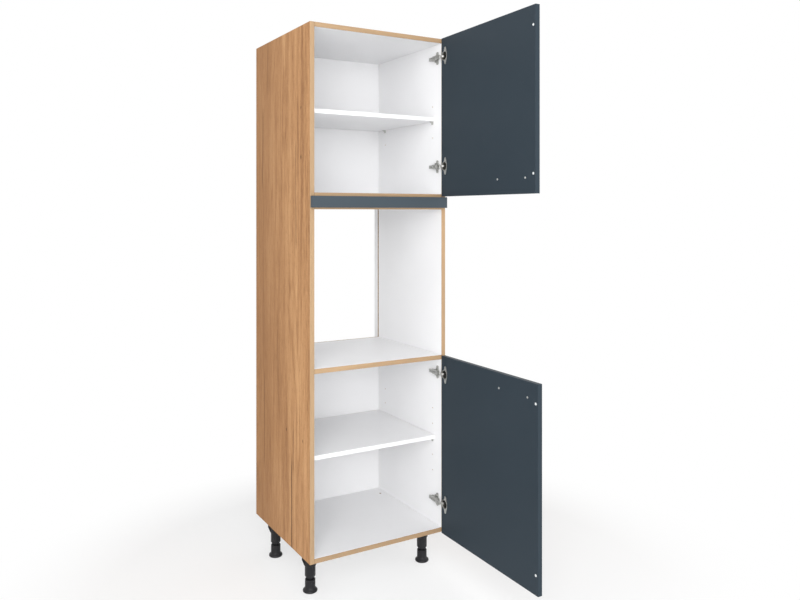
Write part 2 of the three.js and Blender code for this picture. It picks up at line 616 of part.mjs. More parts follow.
// A bow handle round the middle of its two feet on the door's outer face, standing out along -Y.
function bowHandle() {
  const [half, foot2] = [HANDLE_CENTRES / 2, HANDLE_FOOT / 2];
  const [out, thick] = [HANDLE_PROJECTION, HANDLE_THICKNESS];
  const bow = new THREE.Shape();
  bow.moveTo(-half - foot2, -SEAT);
  bow.bezierCurveTo(-half - foot2, -out * 0.75, -half + 8, -out, -half + 34, -out);
  bow.lineTo(half - 34, -out);
  bow.bezierCurveTo(half - 8, -out, half + foot2, -out * 0.75, half + foot2, -SEAT);
  bow.lineTo(half - foot2, -SEAT);
  bow.bezierCurveTo(half - foot2, -out * 0.55, half - 14, -out + thick, half - 36, -out + thick);
  bow.lineTo(-half + 36, -out + thick);
  bow.bezierCurveTo(-half + 14, -out + thick, -half + foot2, -out * 0.55, -half + foot2, -SEAT);
  let handle = prism(bow, 'z', -HANDLE_WIDTH / 2, HANDLE_WIDTH / 2, 6);
  for (const x of [-half, half]) {
    handle = handle.subtract(rod(SCREW_RADIUS + SEAT, 2 * (SCREW_GRIP + 1), 'y', [x, 0, 0], 8));
  }
  return handle;
}

// A handle screw: a domed head on the door's inner face and a shank through to the handle.
function handleScrew() {
  const shankEnd = -(DOOR_BOARD + SEAT + SCREW_GRIP);
  const head = SEAT + SCREW_HEAD_HEIGHT;
  return turned([
    [0, shankEnd], [SCREW_RADIUS - 0.6, shankEnd], [SCREW_RADIUS, shankEnd + 0.8], [SCREW_RADIUS, SEAT],
    [SCREW_HEAD_RADIUS, SEAT], [SCREW_HEAD_RADIUS - 0.3, SEAT + 0.7], [SCREW_HEAD_RADIUS * 0.55, head],
    [0, head],
  ], 10).rotate([-90, 0, 0]);
}

// A bumper: a low clear dome stuck on the door's inner face.
function doorBumper() {
  const top = SEAT + BUMPER_HEIGHT - 0.1;
  return turned([
    [0, SEAT], [BUMPER_RADIUS, SEAT], [BUMPER_RADIUS - 0.5, SEAT + 0.8], [BUMPER_RADIUS * 0.6, top],
    [0, top],
  ], 14).rotate([-90, 0, 0]);
}

const handle = bowHandle();
const screw = handleScrew();
const bumper = doorBumper();

// Where the link's free end lies in the cup, measured from the cup's centre, with the door at an angle.
function linkEndInCup(openDegrees) {
  const open = THREE.MathUtils.degToRad(openDegrees);
  const pivot = new THREE.Vector2(innerHalf, 0).add(ARM_PIVOT);
  const end = LINK_REACH.clone().rotateAround(new THREE.Vector2(), LINK_TURN * open).add(pivot);
  end.sub(pole).rotateAround(new THREE.Vector2(), -open);
  return end.sub(new THREE.Vector2(cupFromPole, POLE_DEPTH));
}

// A door with all that rides on it, and the parts of its hinges that stay on the side panel.
function hungDoor(name, bottom, height, openDegrees, handleHeight) {
  const open = THREE.MathUtils.degToRad(openDegrees);
  const door = new THREE.Group();
  door.position.set(pole.x, pole.y, bottom);
  door.rotation.z = open;
  unit.add(door);
  const freeEdge = -doorEdge - pole.x;
  const nearScrew = freeEdge + HANDLE_EDGE_INSET;
  const farScrew = nearScrew + HANDLE_CENTRES;
  const hinges = { lower: HINGE_BOTTOM_INSET, upper: height - HINGE_TOP_INSET };
  const screwPlaces = [[nearScrew, handleHeight], [farScrew, handleHeight]];
  place(door, `${name}_door`, doorSlab(height, Object.values(hinges), screwPlaces), finishes.lacquer);
  place(door, `${name}_door_handle`, handle, finishes.steel,
    [(nearScrew + farScrew) / 2, POLE_DEPTH - DOOR_BOARD, handleHeight]);
  place(door, `${name}_door_screw_outer`, screw, finishes.steel, [nearScrew, POLE_DEPTH, handleHeight]);
  place(door, `${name}_door_screw_inner`, screw, finishes.steel, [farScrew, POLE_DEPTH, handleHeight]);
  const bumperX = freeEdge + BUMPER_EDGE_INSET;
  place(door, `${name}_door_bumper_bottom`, bumper, finishes.clearPlastic,
    [bumperX, POLE_DEPTH, BUMPER_END_INSET]);
  place(door, `${name}_door_bumper_top`, bumper, finishes.clearPlastic,
    [bumperX, POLE_DEPTH, height - BUMPER_END_INSET]);
  const stub = linkEndInCup(openDegrees);
  const cup = hingeCup(stub.x, stub.y);
  for (const [which, z] of Object.entries(hinges)) {
    const label = `${name}_door_${which}_hinge`;
    place(door, `${label}_cup`, cup, finishes.nickel, [cupFromPole, POLE_DEPTH, z]);
    place(carcase, `${label}_arm`, arm, finishes.nickel, [innerHalf, 0, bottom + z]);
    const eccentricSide = which === 'upper' ? -1 : 1;
    place(carcase, `${label}_plate`, mountingPlate(eccentricSide), finishes.nickel,
      [innerHalf, 0, bottom + z]);
    const linkPivot = new THREE.Group();
    linkPivot.position.set(innerHalf + ARM_PIVOT.x, ARM_PIVOT.y, bottom + z);
    linkPivot.rotation.z = LINK_TURN * open;
    unit.add(linkPivot);
    place(linkPivot, `${label}_link`, link, finishes.nickel);
  }
}

const lowerDoorBottom = carcaseBottom + DOOR_REVEAL;
const lowerDoorHeight = OVEN_SHELF_HEIGHT - 2 * DOOR_REVEAL;
const upperDoorBottom = upperShelfTop - UPPER_DOOR_LAP;
const upperDoorHeight = carcaseTop - UPPER_DOOR_REVEAL - upperDoorBottom;
hungDoor('upper', upperDoorBottom, upperDoorHeight, UPPER_DOOR_OPEN, HANDLE_END_INSET);
hungDoor('lower', lowerDoorBottom, lowerDoorHeight, LOWER_DOOR_OPEN, lowerDoorHeight - HANDLE_END_INSET);

// ---------------------------------------------------------------- trim strip above the niche

const trimTop = upperDoorBottom - TRIM_GAP;
const trimPlan = roundedRectangle(doorWidth, DOOR_BOARD, DOOR_EDGE_RADIUS, 0, -SEAT - DOOR_BOARD / 2);
place(carcase, 'trim_strip', prism(trimPlan, 'z', trimTop - TRIM_HEIGHT, trimTop), finishes.lacquer);

// ---------------------------------------------------------------- origin

unit.updateMatrixWorld(true);
const box = new THREE.Box3().setFromObject(unit, true);
unit.position.set(-(box.min.x + box.max.x) / 2, -(box.min.y + box.max.y) / 2, -box.min.z);

export default unit;
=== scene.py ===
"""The looks of a tall oven housing unit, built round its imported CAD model.

The carcase boards, doors and trim strip keep their CAD shape and get layered board finishes. The hinges,
legs, handles, bumpers, door screws and shelf supports are rebuilt from their CAD shape with rounded edges
and smooth round faces. The feet are turned anew, and the small screws and rivets that hold the hardware
are added. Lengths are in metres.
"""

import json
import logging
import math
from dataclasses import dataclass, replace
from enum import Enum
from functools import reduce
from typing import Dict, Iterable, List, Optional, Sequence, Tuple, Union

import bmesh
import bpy
from mathutils import Matrix, Vector


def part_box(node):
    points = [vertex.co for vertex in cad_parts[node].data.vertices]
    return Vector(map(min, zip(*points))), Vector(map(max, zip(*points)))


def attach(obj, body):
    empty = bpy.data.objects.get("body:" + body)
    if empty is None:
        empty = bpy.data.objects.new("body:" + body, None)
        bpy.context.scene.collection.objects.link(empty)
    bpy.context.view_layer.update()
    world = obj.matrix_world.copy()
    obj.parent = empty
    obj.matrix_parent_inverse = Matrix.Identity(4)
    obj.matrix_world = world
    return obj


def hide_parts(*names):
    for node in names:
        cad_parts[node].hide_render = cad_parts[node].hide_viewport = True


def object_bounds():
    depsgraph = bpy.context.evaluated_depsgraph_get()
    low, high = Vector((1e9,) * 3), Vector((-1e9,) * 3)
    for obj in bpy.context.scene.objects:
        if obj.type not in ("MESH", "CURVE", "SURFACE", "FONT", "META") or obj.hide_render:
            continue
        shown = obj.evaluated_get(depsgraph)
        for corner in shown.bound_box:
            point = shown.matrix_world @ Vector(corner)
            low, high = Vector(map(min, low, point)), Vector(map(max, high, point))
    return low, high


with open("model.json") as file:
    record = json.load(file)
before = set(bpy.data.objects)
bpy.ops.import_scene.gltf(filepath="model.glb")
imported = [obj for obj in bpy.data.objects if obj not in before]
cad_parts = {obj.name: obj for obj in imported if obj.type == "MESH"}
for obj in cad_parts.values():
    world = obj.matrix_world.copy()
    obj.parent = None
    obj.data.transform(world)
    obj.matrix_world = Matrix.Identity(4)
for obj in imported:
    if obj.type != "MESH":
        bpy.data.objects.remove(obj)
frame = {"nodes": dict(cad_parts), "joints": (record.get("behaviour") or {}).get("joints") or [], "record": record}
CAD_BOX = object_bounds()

log = logging.getLogger("oven_housing")

Colour = Tuple[float, float, float, float]
Inputs = Tuple[Tuple[str, float], ...]
Profile = Sequence[Tuple[float, float]]

WHITE: Colour = (1.0, 1.0, 1.0, 1.0)


def srgb(red: int, green: int, blue: int) -> Colour:
    """Turns a colour of 0 to 255 per channel, as a screen shows it, into scene-linear values.

    Args:
        red: Red channel.
        green: Green channel.
        blue: Blue channel.

    Returns:
        The linear colour with full alpha.
    """

    def linear(channel: int) -> float:
        """Undoes the screen's curve for one channel."""
        value = channel / 255
        return value / 12.92 if value <= 0.04045 else ((value + 0.055) / 1.055) ** 2.4

    return linear(red), linear(green), linear(blue), 1.0


class Axis(Enum):
    """The model's axes, by their place in a vector."""

    X = 0
    Y = 1
    Z = 2


# --- shader maths


class Socket:
    """One value of a shader, used in ordinary arithmetic."""

    def __init__(self, nodes: "Nodes", socket: bpy.types.NodeSocket) -> None:
        """Wraps a socket of a node tree."""
        self.nodes = nodes
        self.socket = socket

    def _math(self, operation: str, *values: "Value") -> "Socket":
        """Adds a Math node on the values given."""
        return self.nodes.node("ShaderNodeMath", {"operation": operation}, dict(enumerate(values)))

    def __add__(self, other: "Value") -> "Socket":
        """Adds."""
        return self._math("ADD", self, other)

    __radd__ = __add__

    def __sub__(self, other: "Value") -> "Socket":
        """Subtracts."""
        return self._math("SUBTRACT", self, other)

    def __rsub__(self, other: "Value") -> "Socket":
        """Subtracts this from another value."""
        return self._math("SUBTRACT", other, self)

    def __mul__(self, other: "Value") -> "Socket":
        """Multiplies."""
        return self._math("MULTIPLY", self, other)

    __rmul__ = __mul__

    def __truediv__(self, other: "Value") -> "Socket":
        """Divides."""
        return self._math("DIVIDE", self, other)

    def __rtruediv__(self, other: "Value") -> "Socket":
        """Divides another value by this."""
        return self._math("DIVIDE", other, self)

    def __abs__(self) -> "Socket":
        """Drops the sign."""
        return self._math("ABSOLUTE", self)

    def __pow__(self, other: "Value") -> "Socket":
        """Raises to a power."""
        return self._math("POWER", self, other)

    def __rpow__(self, other: "Value") -> "Socket":
        """Raises another value to this power."""
        return self._math("POWER", other, self)

    def __lt__(self, other: "Value") -> "Socket":
        """Gives 1 where this is the smaller."""
        return self._math("LESS_THAN", self, other)

    def __gt__(self, other: "Value") -> "Socket":
        """Gives 1 where this is the larger."""
        return self._math("GREATER_THAN", self, other)

    def sine(self) -> "Socket":
        """Gives the sine."""
        return self._math("SINE", self)

    def larger(self, other: "Value") -> "Socket":
        """Gives the larger of two values."""
        return self._math("MAXIMUM", self, other)


Value = Union[int, float, Colour, Vector, Socket]


class Nodes:
    """A node tree under construction: a material's or the world's."""

    def __init__(self, tree: bpy.types.NodeTree) -> None:
        """Takes the tree that nodes are added to."""
        self.tree = tree

    def node(
        self,
        kind: str,
        settings: Optional[Dict[str, object]] = None,
        sockets: Optional[Dict[Union[int, str], Value]] = None,
        result: Union[int, str] = 0,
    ) -> Socket:
        """Adds a node.

        Args:
            kind: The node's type.
            settings: Its settings, set before its sockets. "stops" holds a ramp's places and colours.
            sockets: Values or links of its inputs, by name or place.
            result: The output to return, by name or place.

        Returns:
            The output's socket.
        """
        made = self.tree.nodes.new(kind)
        for name, value in (settings or {}).items():
            if name == "stops":
                ramp = made.color_ramp
                while len(ramp.elements) < len(value):
                    ramp.elements.new(1.0)
                for element, (place, colour) in zip(ramp.elements, value):
                    element.position, element.color = place, colour
            else:
                setattr(made, name, value)
        for name, value in (sockets or {}).items():
            self.feed(made.inputs[name], value)
        return Socket(self, made.outputs[result])

    def feed(self, target: bpy.types.NodeSocket, value: Value) -> None:
        """Links a socket to an input, or sets the input's value.

        Args:
            target: The input.
            value: The socket or the value.
        """
        if isinstance(value, Socket):
            self.tree.links.new(value.socket, target)
        else:
            target.default_value = value


class Shader(Nodes):
    """A material under construction, with the noises and masks that the finishes share."""

    def __init__(self, name: str, **constants: Value) -> None:
        """Starts a material.

        Args:
            name: The material's name.
            constants: Inputs of the surface that are the same all over, with _ for a space.
        """
        self.material = bpy.data.materials.new(name)
        self.material.use_nodes = True
        super().__init__(self.material.node_tree)
        self.surface = self.tree.nodes["Principled BSDF"]
        for key, value in constants.items():
            self.surface.inputs[key.replace("_", " ")].default_value = value

    def place(self, origin: Vector = Vector((0, 0, 0))) -> Socket:
        """Gives the place on the object, measured from an origin."""
        return self.vector("SUBTRACT", self.node("ShaderNodeTexCoord", result="Object"), origin)

    def vector(self, operation: str, first: Value, second: Value) -> Socket:
        """Joins two vectors by a Vector Math node."""
        return self.node("ShaderNodeVectorMath", {"operation": operation}, {0: first, 1: second})

    def parts(self, vector: Socket) -> Tuple[Socket, Socket, Socket]:
        """Splits a vector into its three parts."""
        node = self.node("ShaderNodeSeparateXYZ", sockets={0: vector}).socket.node
        return tuple(Socket(self, output) for output in node.outputs)

    def noise(self, vector: Socket, scale: float, detail: float = 2.0, roughness: float = 0.5) -> Socket:
        """Gives a noise of 0 to 1.

        Args:
            vector: Where it is read.
            scale: Its features per metre.
            detail: How many finer layers it has.
            roughness: How strong the finer layers are.

        Returns:
            The noise.
        """
        sockets = {"Vector": vector, "Scale": scale, "Detail": detail, "Roughness": roughness}
        return self.node("ShaderNodeTexNoise", sockets=sockets)

    def step(self, value: Socket, low: float, high: float) -> Socket:
        """Rises smoothly from 0 to 1.

        Args:
            value: The value that it follows.
            low: Where it is 0.
            high: Where it is 1, which may be the lower of the two.

        Returns:
            The mask.
        """
        start, end = (0.0, 1.0) if low < high else (1.0, 0.0)
        sockets = {"Value": value, "From Min": min(low, high), "From Max": max(low, high)}
        sockets.update({"To Min": start, "To Max": end})
        return self.node("ShaderNodeMapRange", {"interpolation_type": "SMOOTHSTEP"}, sockets)

    def blend(self, factor: Value, first: Value, second: Value) -> Socket:
        """Blends two colours.

        Args:
            factor: The share of the second colour.
            first: Colour where the factor is 0.
            second: Colour where the factor is 1.

        Returns:
            The blended colour.
        """
        settings = {"data_type": "RGBA", "blend_type": "MIX", "clamp_factor": True}
        return self.node("ShaderNodeMix", settings, {0: factor, 6: first, 7: second}, 2)

    def bump(self, height: Socket, depth: float, strength: float) -> None:
        """Lets a height stand on the surface.

        Args:
            height: Height from 0 to 1.
            depth: What a height of 1 measures.
            strength: How far the shading follows it.
        """
        sockets = {"Strength": strength, "Distance": depth, "Height": height}
        normal = self.node("ShaderNodeBump", sockets=sockets, result="Normal")
        self.feed(self.surface.inputs["Normal"], normal)

    def paint(self, colour: Socket, roughness: Socket) -> None:
        """Sets the colour and the roughness."""
        self.feed(self.surface.inputs["Base Color"], colour)
        self.feed(self.surface.inputs["Roughness"], roughness)


# --- finishes


@dataclass(frozen=True)
class Crack:
    """A dark filled crack in the oak print, which runs along the grain.

    Attributes:
        across: Its place from the panel's front edge.
        low: Its lower end above the panel's lower end.
        high: Its upper end.
        width: Its width.
        depth: How dark it is, from 0 to 1.
    """

    across: float
    low: float
    high: float
    width: float = 0.0022
    depth: float = 0.75


@dataclass(frozen=True)
class Knot:
    """A small dark knot in the oak print.

    Attributes:
        across: Its place from the panel's front edge.
        along: Its place above the panel's lower end.
        radius: Its radius across the grain.
    """

    across: float
    along: float
    radius: float = 0.004


@dataclass(frozen=True)
class NoiseLayer:
    """One noise of a finish.

    Attributes:
        stretch: How many times longer than wide its features are.
        scale: Its features per metre.
        detail: How many finer layers it has.
        roughness: How strong the finer layers are.
    """

    stretch: float
    scale: float
    detail: float
    roughness: float = 0.5

    def read(self, shader: Shader, place: Socket, grain: Axis) -> Socket:
        """Reads the noise, drawn out along the grain.

        Args:
            shader: The material.
            place: The place on the object.
            grain: The axis that the grain follows.

        Returns:
            The noise, from 0 to 1.
        """
        scale = Vector((1.0, 1.0, 1.0))
        scale[grain.value] = 1.0 / self.stretch
        drawn_out = shader.vector("MULTIPLY", place, scale)
        return shader.noise(drawn_out, self.scale, self.detail, self.roughness)


@dataclass(frozen=True)
class OakPrint:
    """Oak-grained melamine: streaks along the grain, short pores, and a flame figure in places.

    Attributes:
        pale: The lightest wood.
        middle: The wood between.
        deep: The darkest wood.
        line: Colour of pores, cracks and knots.
        edging: What the edge band's colour leans to.
        edging_share: How far it does, from 0 to 1.
        roughness: The print's roughness.
        crack_fade: How far a crack takes to fade at its ends.
        crack_drift: How far a crack wanders across the grain.
        broad: Broad changes of tone, which also say where the flame figure shows.
        bands: Bands along the grain.
        streaks: Fine streaks.
        fleck: Short dark and pale flecks.
        pores: Pores.
        wander: How the lines of the flame figure run.
        drift: How the cracks' lines wander.
        ragged: How the outlines of cracks and knots fray.
    """

    pale: Colour = srgb(205, 160, 114)
    middle: Colour = srgb(181, 135, 92)
    deep: Colour = srgb(143, 101, 65)
    line: Colour = srgb(46, 31, 20)
    edging: Colour = srgb(163, 143, 116)
    edging_share: float = 0.7
    roughness: float = 0.58
    crack_fade: float = 0.03
    crack_drift: float = 0.016
    broad: NoiseLayer = NoiseLayer(9, 9.0, 2.0)
    bands: NoiseLayer = NoiseLayer(16, 34.0, 4.0, 0.6)
    streaks: NoiseLayer = NoiseLayer(9, 120.0, 4.0, 0.7)
    fleck: NoiseLayer = NoiseLayer(4.5, 150.0, 3.0, 0.6)
    pores: NoiseLayer = NoiseLayer(12, 1150.0, 1.0)
    wander: NoiseLayer = NoiseLayer(6, 5.0, 2.0, 0.45)
    drift: NoiseLayer = NoiseLayer(9, 7.0, 3.0)
    ragged: NoiseLayer = NoiseLayer(3, 160.0, 2.0)

    def colour(self, shader: Shader, place: Socket, grain: Axis) -> Tuple[Socket, Socket]:
        """Works out the print's colour and its relief.

        Args:
            shader: The material.
            place: The place on the object.
            grain: The axis that the grain follows.

        Returns:
            The colour, and a height from 0 to 1.
        """
        layers = (self.broad, self.bands, self.streaks, self.fleck, self.pores, self.wander)
        broad, bands, streaks, fleck, pores, wander = (layer.read(shader, place, grain) for layer in layers)
        flame = ((wander * 11.0 + bands * 0.8) * (2 * math.pi)).sine() * 0.5 + 0.5
        figured = shader.step(broad, 0.5, 0.64)
        tone = 0.5 + (broad - 0.5) * 0.9 + (bands - 0.5) * 1.25 + (streaks - 0.5) * 0.9
        tone = tone - (flame ** 3.0) * figured * 0.22
        stops = [(0.12, self.deep), (0.5, self.middle), (0.88, self.pale)]
        colour = shader.node("ShaderNodeValToRGB", {"stops": stops}, {0: tone})
        colour = shader.blend(shader.step(fleck, 0.56, 0.72) * 0.42, colour, self.deep)
        colour = shader.blend(shader.step(fleck, 0.46, 0.3) * 0.3, colour, self.pale)
        pits = shader.step(pores, 0.6, 0.74)
        colour = shader.blend(pits * 0.3, colour, self.line)
        return colour, streaks * 0.5 + 0.5 - pits * 0.5

    def marks(
        self, shader: Shader, place: Socket, colour: Socket, cracks: Iterable[Crack], knots: Iterable[Knot]
    ) -> Tuple[Socket, Socket]:
        """Adds cracks and knots on a panel whose grain stands up.

        Args:
            shader: The material.
            place: The place from the panel's front lower corner.
            colour: The print's colour.
            cracks: The cracks, at least one.
            knots: The knots.

        Returns:
            The colour with its marks, and how strong the marks are, from 0 to 1.
        """
        _, across, along = shader.parts(place)
        drift = (self.drift.read(shader, place, Axis.Z) - 0.5) * self.crack_drift
        ragged = self.ragged.read(shader, place, Axis.Z)
        fade = self.crack_fade
        marks: List[Socket] = []
        for crack in cracks:
            gap = abs(across + drift - crack.across)
            half = crack.width * (0.3 + ragged * 0.6)
            line = shader.step(gap / half, 1.2, 0.5)
            start = shader.step(along, crack.low - fade, crack.low + fade)
            end = shader.step(along, crack.high + fade, crack.high - fade)
            marks.append(line * (start * end) * crack.depth)
        for knot in knots:
            gap = (((across - knot.across) ** 2.0) + ((along - knot.along) * 0.55) ** 2.0) ** 0.5
            marks.append(shader.step(gap / knot.radius + ragged * 0.8, 1.5, 0.5) * 0.8)
        total = reduce(Socket.larger, marks)
        return shader.blend(total, colour, self.line), total


@dataclass(frozen=True)
class WhiteMelamine:
    """White melamine with the faint pearl of a press plate."""

    tint: Colour = srgb(243, 243, 244)
    shade: Colour = srgb(238, 238, 239)
    roughness: float = 0.4
    edging_roughness: float = 0.38

    def colour(self, shader: Shader, place: Socket) -> Tuple[Socket, Socket]:
        """Works out the colour and the relief.

        Args:
            shader: The material.
            place: The place on the object.

        Returns:
            The colour, and a height from 0 to 1.
        """
        cloud = shader.noise(place, 5.0, 3.0)
        pearl = shader.noise(place, 900.0, 2.0)
        return shader.blend(cloud, self.shade, self.tint), pearl


@dataclass(frozen=True)
class Chipboard:
    """The raw core of a board, where it has no edging and in its holes and grooves."""

    pale: Colour = srgb(206, 178, 140)
    deep: Colour = srgb(142, 110, 78)
    roughness: float = 0.85
    chips_per_metre: float = 420.0

    def colour(self, shader: Shader, place: Socket) -> Tuple[Socket, Socket]:
        """Works out the colour and the relief.

        Args:
            shader: The material.
            place: The place on the object.

        Returns:
            The colour, and a height from 0 to 1.
        """
        sockets = {"Vector": place, "Scale": self.chips_per_metre}
        chips = shader.node("ShaderNodeTexVoronoi", {"feature": "F1"}, sockets, "Color")
        speck = shader.parts(chips)[0]
        dust = shader.noise(place, 1500.0, 2.0)
        return shader.blend(speck * 0.7 + dust * 0.3, self.deep, self.pale), speck


@dataclass(frozen=True)
class BoardFaces:
    """Where a board's faces lie, so that one material can finish each face in its own way.

    Attributes:
        low: The board's lowest corner.
        high: Its highest corner.
        thickness: The axis across its two broad faces.
        grain: The axis that the oak's grain follows.
        oak_faces: Which broad faces are oak: -1 for the low one, 1 for the high one.
        oak_edging: Whether the front edging is oak.
        seed: Where in the print the board is cut from.
        cracks: Cracks on the oak faces.
        knots: Knots on the oak faces.
        edging: How far the front edging reaches back.
        blur: Half the width over which the edging ends.
        skin: Depth of the melamine on the broad faces.
        painted_rear_shade: How far a cracked panel's print is darkened towards its rear, as painted shade where
            less light reaches.
        relief: What a height of 1 measures on the faces.
        follow: How far the shading follows the relief.
    """

    low: Vector
    high: Vector
    thickness: Axis
    grain: Axis
    oak_faces: Tuple[int, ...] = ()
    oak_edging: bool = True
    seed: float = 0.0
    cracks: Tuple[Crack, ...] = ()
    knots: Tuple[Knot, ...] = ()
    edging: float = 0.00105
    blur: float = 0.00005
    skin: float = 0.00012
    painted_rear_shade: float = 0.58
    relief: float = 0.00005
    follow: float = 0.6

    def material(self, name: str) -> bpy.types.Material:
        """Builds the board's material.

        Args:
            name: The material's name.

        Returns:
            The material.
        """
        shader = Shader(name, IOR=1.47, Specular_IOR_Level=0.12)
        place = shader.place(self.low)
        size = self.high - self.low
        depth = shader.parts(place)[Axis.Y.value]
        across = shader.parts(place)[self.thickness.value]
        low_face = across < self.skin
        high_face = across > (size[self.thickness.value] - self.skin)
        front = shader.step(depth, self.edging + self.blur, self.edging - self.blur)
        broad = low_face.larger(high_face)

        melamine, core = WhiteMelamine(), Chipboard()
        white, pearl = melamine.colour(shader, place)
        raw, chips = core.colour(shader, place)
        colour = shader.blend(broad, raw, white)
        height = chips * (1 - broad) + pearl * broad * 0.25
        rough = core.roughness - broad * (core.roughness - melamine.roughness)
        if self.oak_edging:
            oak = OakPrint()
            cut = Vector((self.seed, self.seed * 0.7, self.seed * 1.9))
            wood_colour, relief = oak.colour(shader, shader.vector("ADD", place, cut), self.grain)
            wood_colour = shader.blend(front * oak.edging_share, wood_colour, oak.edging)
            wood = front
            for face in self.oak_faces:
                wood = wood.larger(low_face if face < 0 else high_face)
            if self.cracks:
                wood_colour, marks = oak.marks(shader, place, wood_colour, self.cracks, self.knots)
                relief = relief - marks
                # Painted shade: the print of a cracked side panel is darkened towards its rear, where less light
                # reaches.
                wood_colour = shader.blend(shader.step(depth, 0.0, size.y) * self.painted_rear_shade, wood_colour, oak.deep)
            colour = shader.blend(wood, colour, wood_colour)
            height = height * (1 - wood) + relief * wood
            rough = rough * (1 - wood) + (oak.roughness - relief * 0.08) * wood
        else:
            colour = shader.blend(front, colour, white)
            rough = rough * (1 - front) + front * melamine.edging_roughness
        shader.paint(colour, rough)
        shader.bump(height, self.relief, self.follow)
        return shader.material


@dataclass(frozen=True)
class FineFinish:
    """A finish of two near tones, with a fine grain in its gloss and relief.

    Attributes:
        tint: The lighter tone.
        shade: The darker tone.
        tones: Where the two tones lie.
        gloss: The roughness alone, and what the tones and the grain add to it.
        relief: What a height of 1 measures.
        follow: How far the shading follows the relief.
        inputs: Inputs of the surface that are the same all over.
        grain: The grain, where it isn't the tones' own.
        drawn: The axis that the layers are drawn out along.
    """

    tint: Colour
    shade: Colour
    tones: NoiseLayer
    gloss: Tuple[float, float, float]
    relief: float
    follow: float
    inputs: Inputs
    grain: Optional[NoiseLayer] = None
    drawn: Axis = Axis.Y

    def surface(self, shader: Shader) -> Tuple[Socket, Socket]:
        """Works out the colour and the roughness, and lets the grain stand on the surface.

        Args:
            shader: The material.

        Returns:
            The colour and the roughness.
        """
        place = shader.place()
        tones = self.tones.read(shader, place, self.drawn)
        grain = self.grain.read(shader, place, self.drawn) if self.grain else tones
        shader.bump(grain, self.relief, self.follow)
        alone, by_tones, by_grain = self.gloss
        rough = alone + grain * by_grain
        if by_tones:
            rough = rough + tones * by_tones
        return shader.blend(tones, self.shade, self.tint), rough

    def material(self, name: str) -> bpy.types.Material:
        """Builds the finish.

        Args:
            name: The material's name.

        Returns:
            The material.
        """
        shader = Shader(name, **dict(self.inputs))
        shader.paint(*self.surface(shader))
        return shader.material


@dataclass(frozen=True)
class SilkLacquer(FineFinish):
    """The doors' blue-grey lacquer: an even colour with a fine spray texture."""

    tint: Colour = srgb(47, 57, 65)
    shade: Colour = srgb(43, 53, 61)
    tones: NoiseLayer = NoiseLayer(1, 3.0, 3.0)
    gloss: Tuple[float, float, float] = (0.38, 0.0, 0.08)
    relief: float = 0.00004
    follow: float = 0.5
    inputs: Inputs = (("IOR", 1.5), ("Specular_IOR_Level", 0.12))
    grain: Optional[NoiseLayer] = NoiseLayer(1, 650.0, 2.0)


@dataclass(frozen=True)
class NickelPlate(FineFinish):
    """Satin nickel on pressed steel, a little worn to darker steel in patches."""

    tint: Colour = (0.68, 0.68, 0.65, 1.0)
    shade: Colour = (0.34, 0.34, 0.32, 1.0)
    tones: NoiseLayer = NoiseLayer(1, 170.0, 3.0, 0.6)
    gloss: Tuple[float, float, float] = (0.26, 0.16, 0.06)
    relief: float = 0.00002
    follow: float = 0.4
    inputs: Inputs = (("Metallic", 1.0),)
    grain: Optional[NoiseLayer] = NoiseLayer(1, 2600.0, 2.0)


@dataclass(frozen=True)
class PaintedShadeWell:
    """A hinge cup's plating, darkened by painted shade down in its well.

    Attributes:
        mouth: A point on the door's inner face, where the well opens.
        outward: The way out of the well.
        plating: The plating above.
        well_shade: Colour of the painted shade in the well.
        shallow: Height over the mouth at which the painted shade begins.
        deep: Height at which it covers all.
        dulling: What it adds to the roughness.
        cover: How far it hides the metal, from 0 to 1.
    """

    mouth: Vector
    outward: Vector
    plating: NickelPlate = NickelPlate()
    well_shade: Colour = (0.03, 0.028, 0.024, 1.0)
    shallow: float = -0.0004
    deep: float = -0.0045
    dulling: float = 0.1
    cover: float = 0.8

    def material(self, name: str) -> bpy.types.Material:
        """Builds the plating and its dark well.

        Args:
            name: The material's name.

        Returns:
            Builds the plating and the painted shade in its well.
        """
        shader = Shader(name)
        sockets = {0: shader.place(self.mouth), 1: self.outward}
        height = shader.node("ShaderNodeVectorMath", {"operation": "DOT_PRODUCT"}, sockets, "Value")
        well = shader.step(height, self.shallow, self.deep)
        colour, rough = self.plating.surface(shader)
        # Painted shade: the plating darkens to near black towards the floor of the well, standing in for its
        # shadow.
        shader.paint(shader.blend(well, colour, self.well_shade), rough + well * self.dulling)
        shader.feed(shader.surface.inputs["Metallic"], 1 - well * self.cover)
        return shader.material


@dataclass(frozen=True)
class BrushedSteel(FineFinish):
    """The handles' steel, brushed along their length."""

    tint: Colour = (0.62, 0.62, 0.61, 1.0)
    shade: Colour = (0.5, 0.5, 0.5, 1.0)
    tones: NoiseLayer = NoiseLayer(50, 3200.0, 2.0, 0.6)
    gloss: Tuple[float, float, float] = (0.26, 0.0, 0.14)
    relief: float = 0.00002
    follow: float = 0.4
    inputs: Inputs = (("Metallic", 1.0),)


@dataclass(frozen=True)
class MouldedPlastic(FineFinish):
    """Black moulded plastic with a spark-eroded texture."""

    tint: Colour = srgb(39, 39, 41)
    shade: Colour = srgb(27, 27, 29)
    tones: NoiseLayer = NoiseLayer(1, 40.0, 3.0)
    gloss: Tuple[float, float, float] = (0.32, 0.0, 0.16)
    relief: float = 0.00005
    follow: float = 0.5
    inputs: Inputs = (("IOR", 1.49), ("Specular_IOR_Level", 0.25))
    grain: Optional[NoiseLayer] = NoiseLayer(1, 1700.0, 3.0, 0.6)


@dataclass(frozen=True)
class ClearPad(FineFinish):
    """The bumpers' soft clear plastic."""

    tint: Colour = srgb(236, 238, 238)
    shade: Colour = srgb(222, 225, 226)
    tones: NoiseLayer = NoiseLayer(1, 700.0, 2.0)
    gloss: Tuple[float, float, float] = (0.22, 0.0, 0.12)
    relief: float = 0.00002
    follow: float = 0.3
    inputs: Inputs = (("IOR", 1.45), ("Transmission_Weight", 0.25))


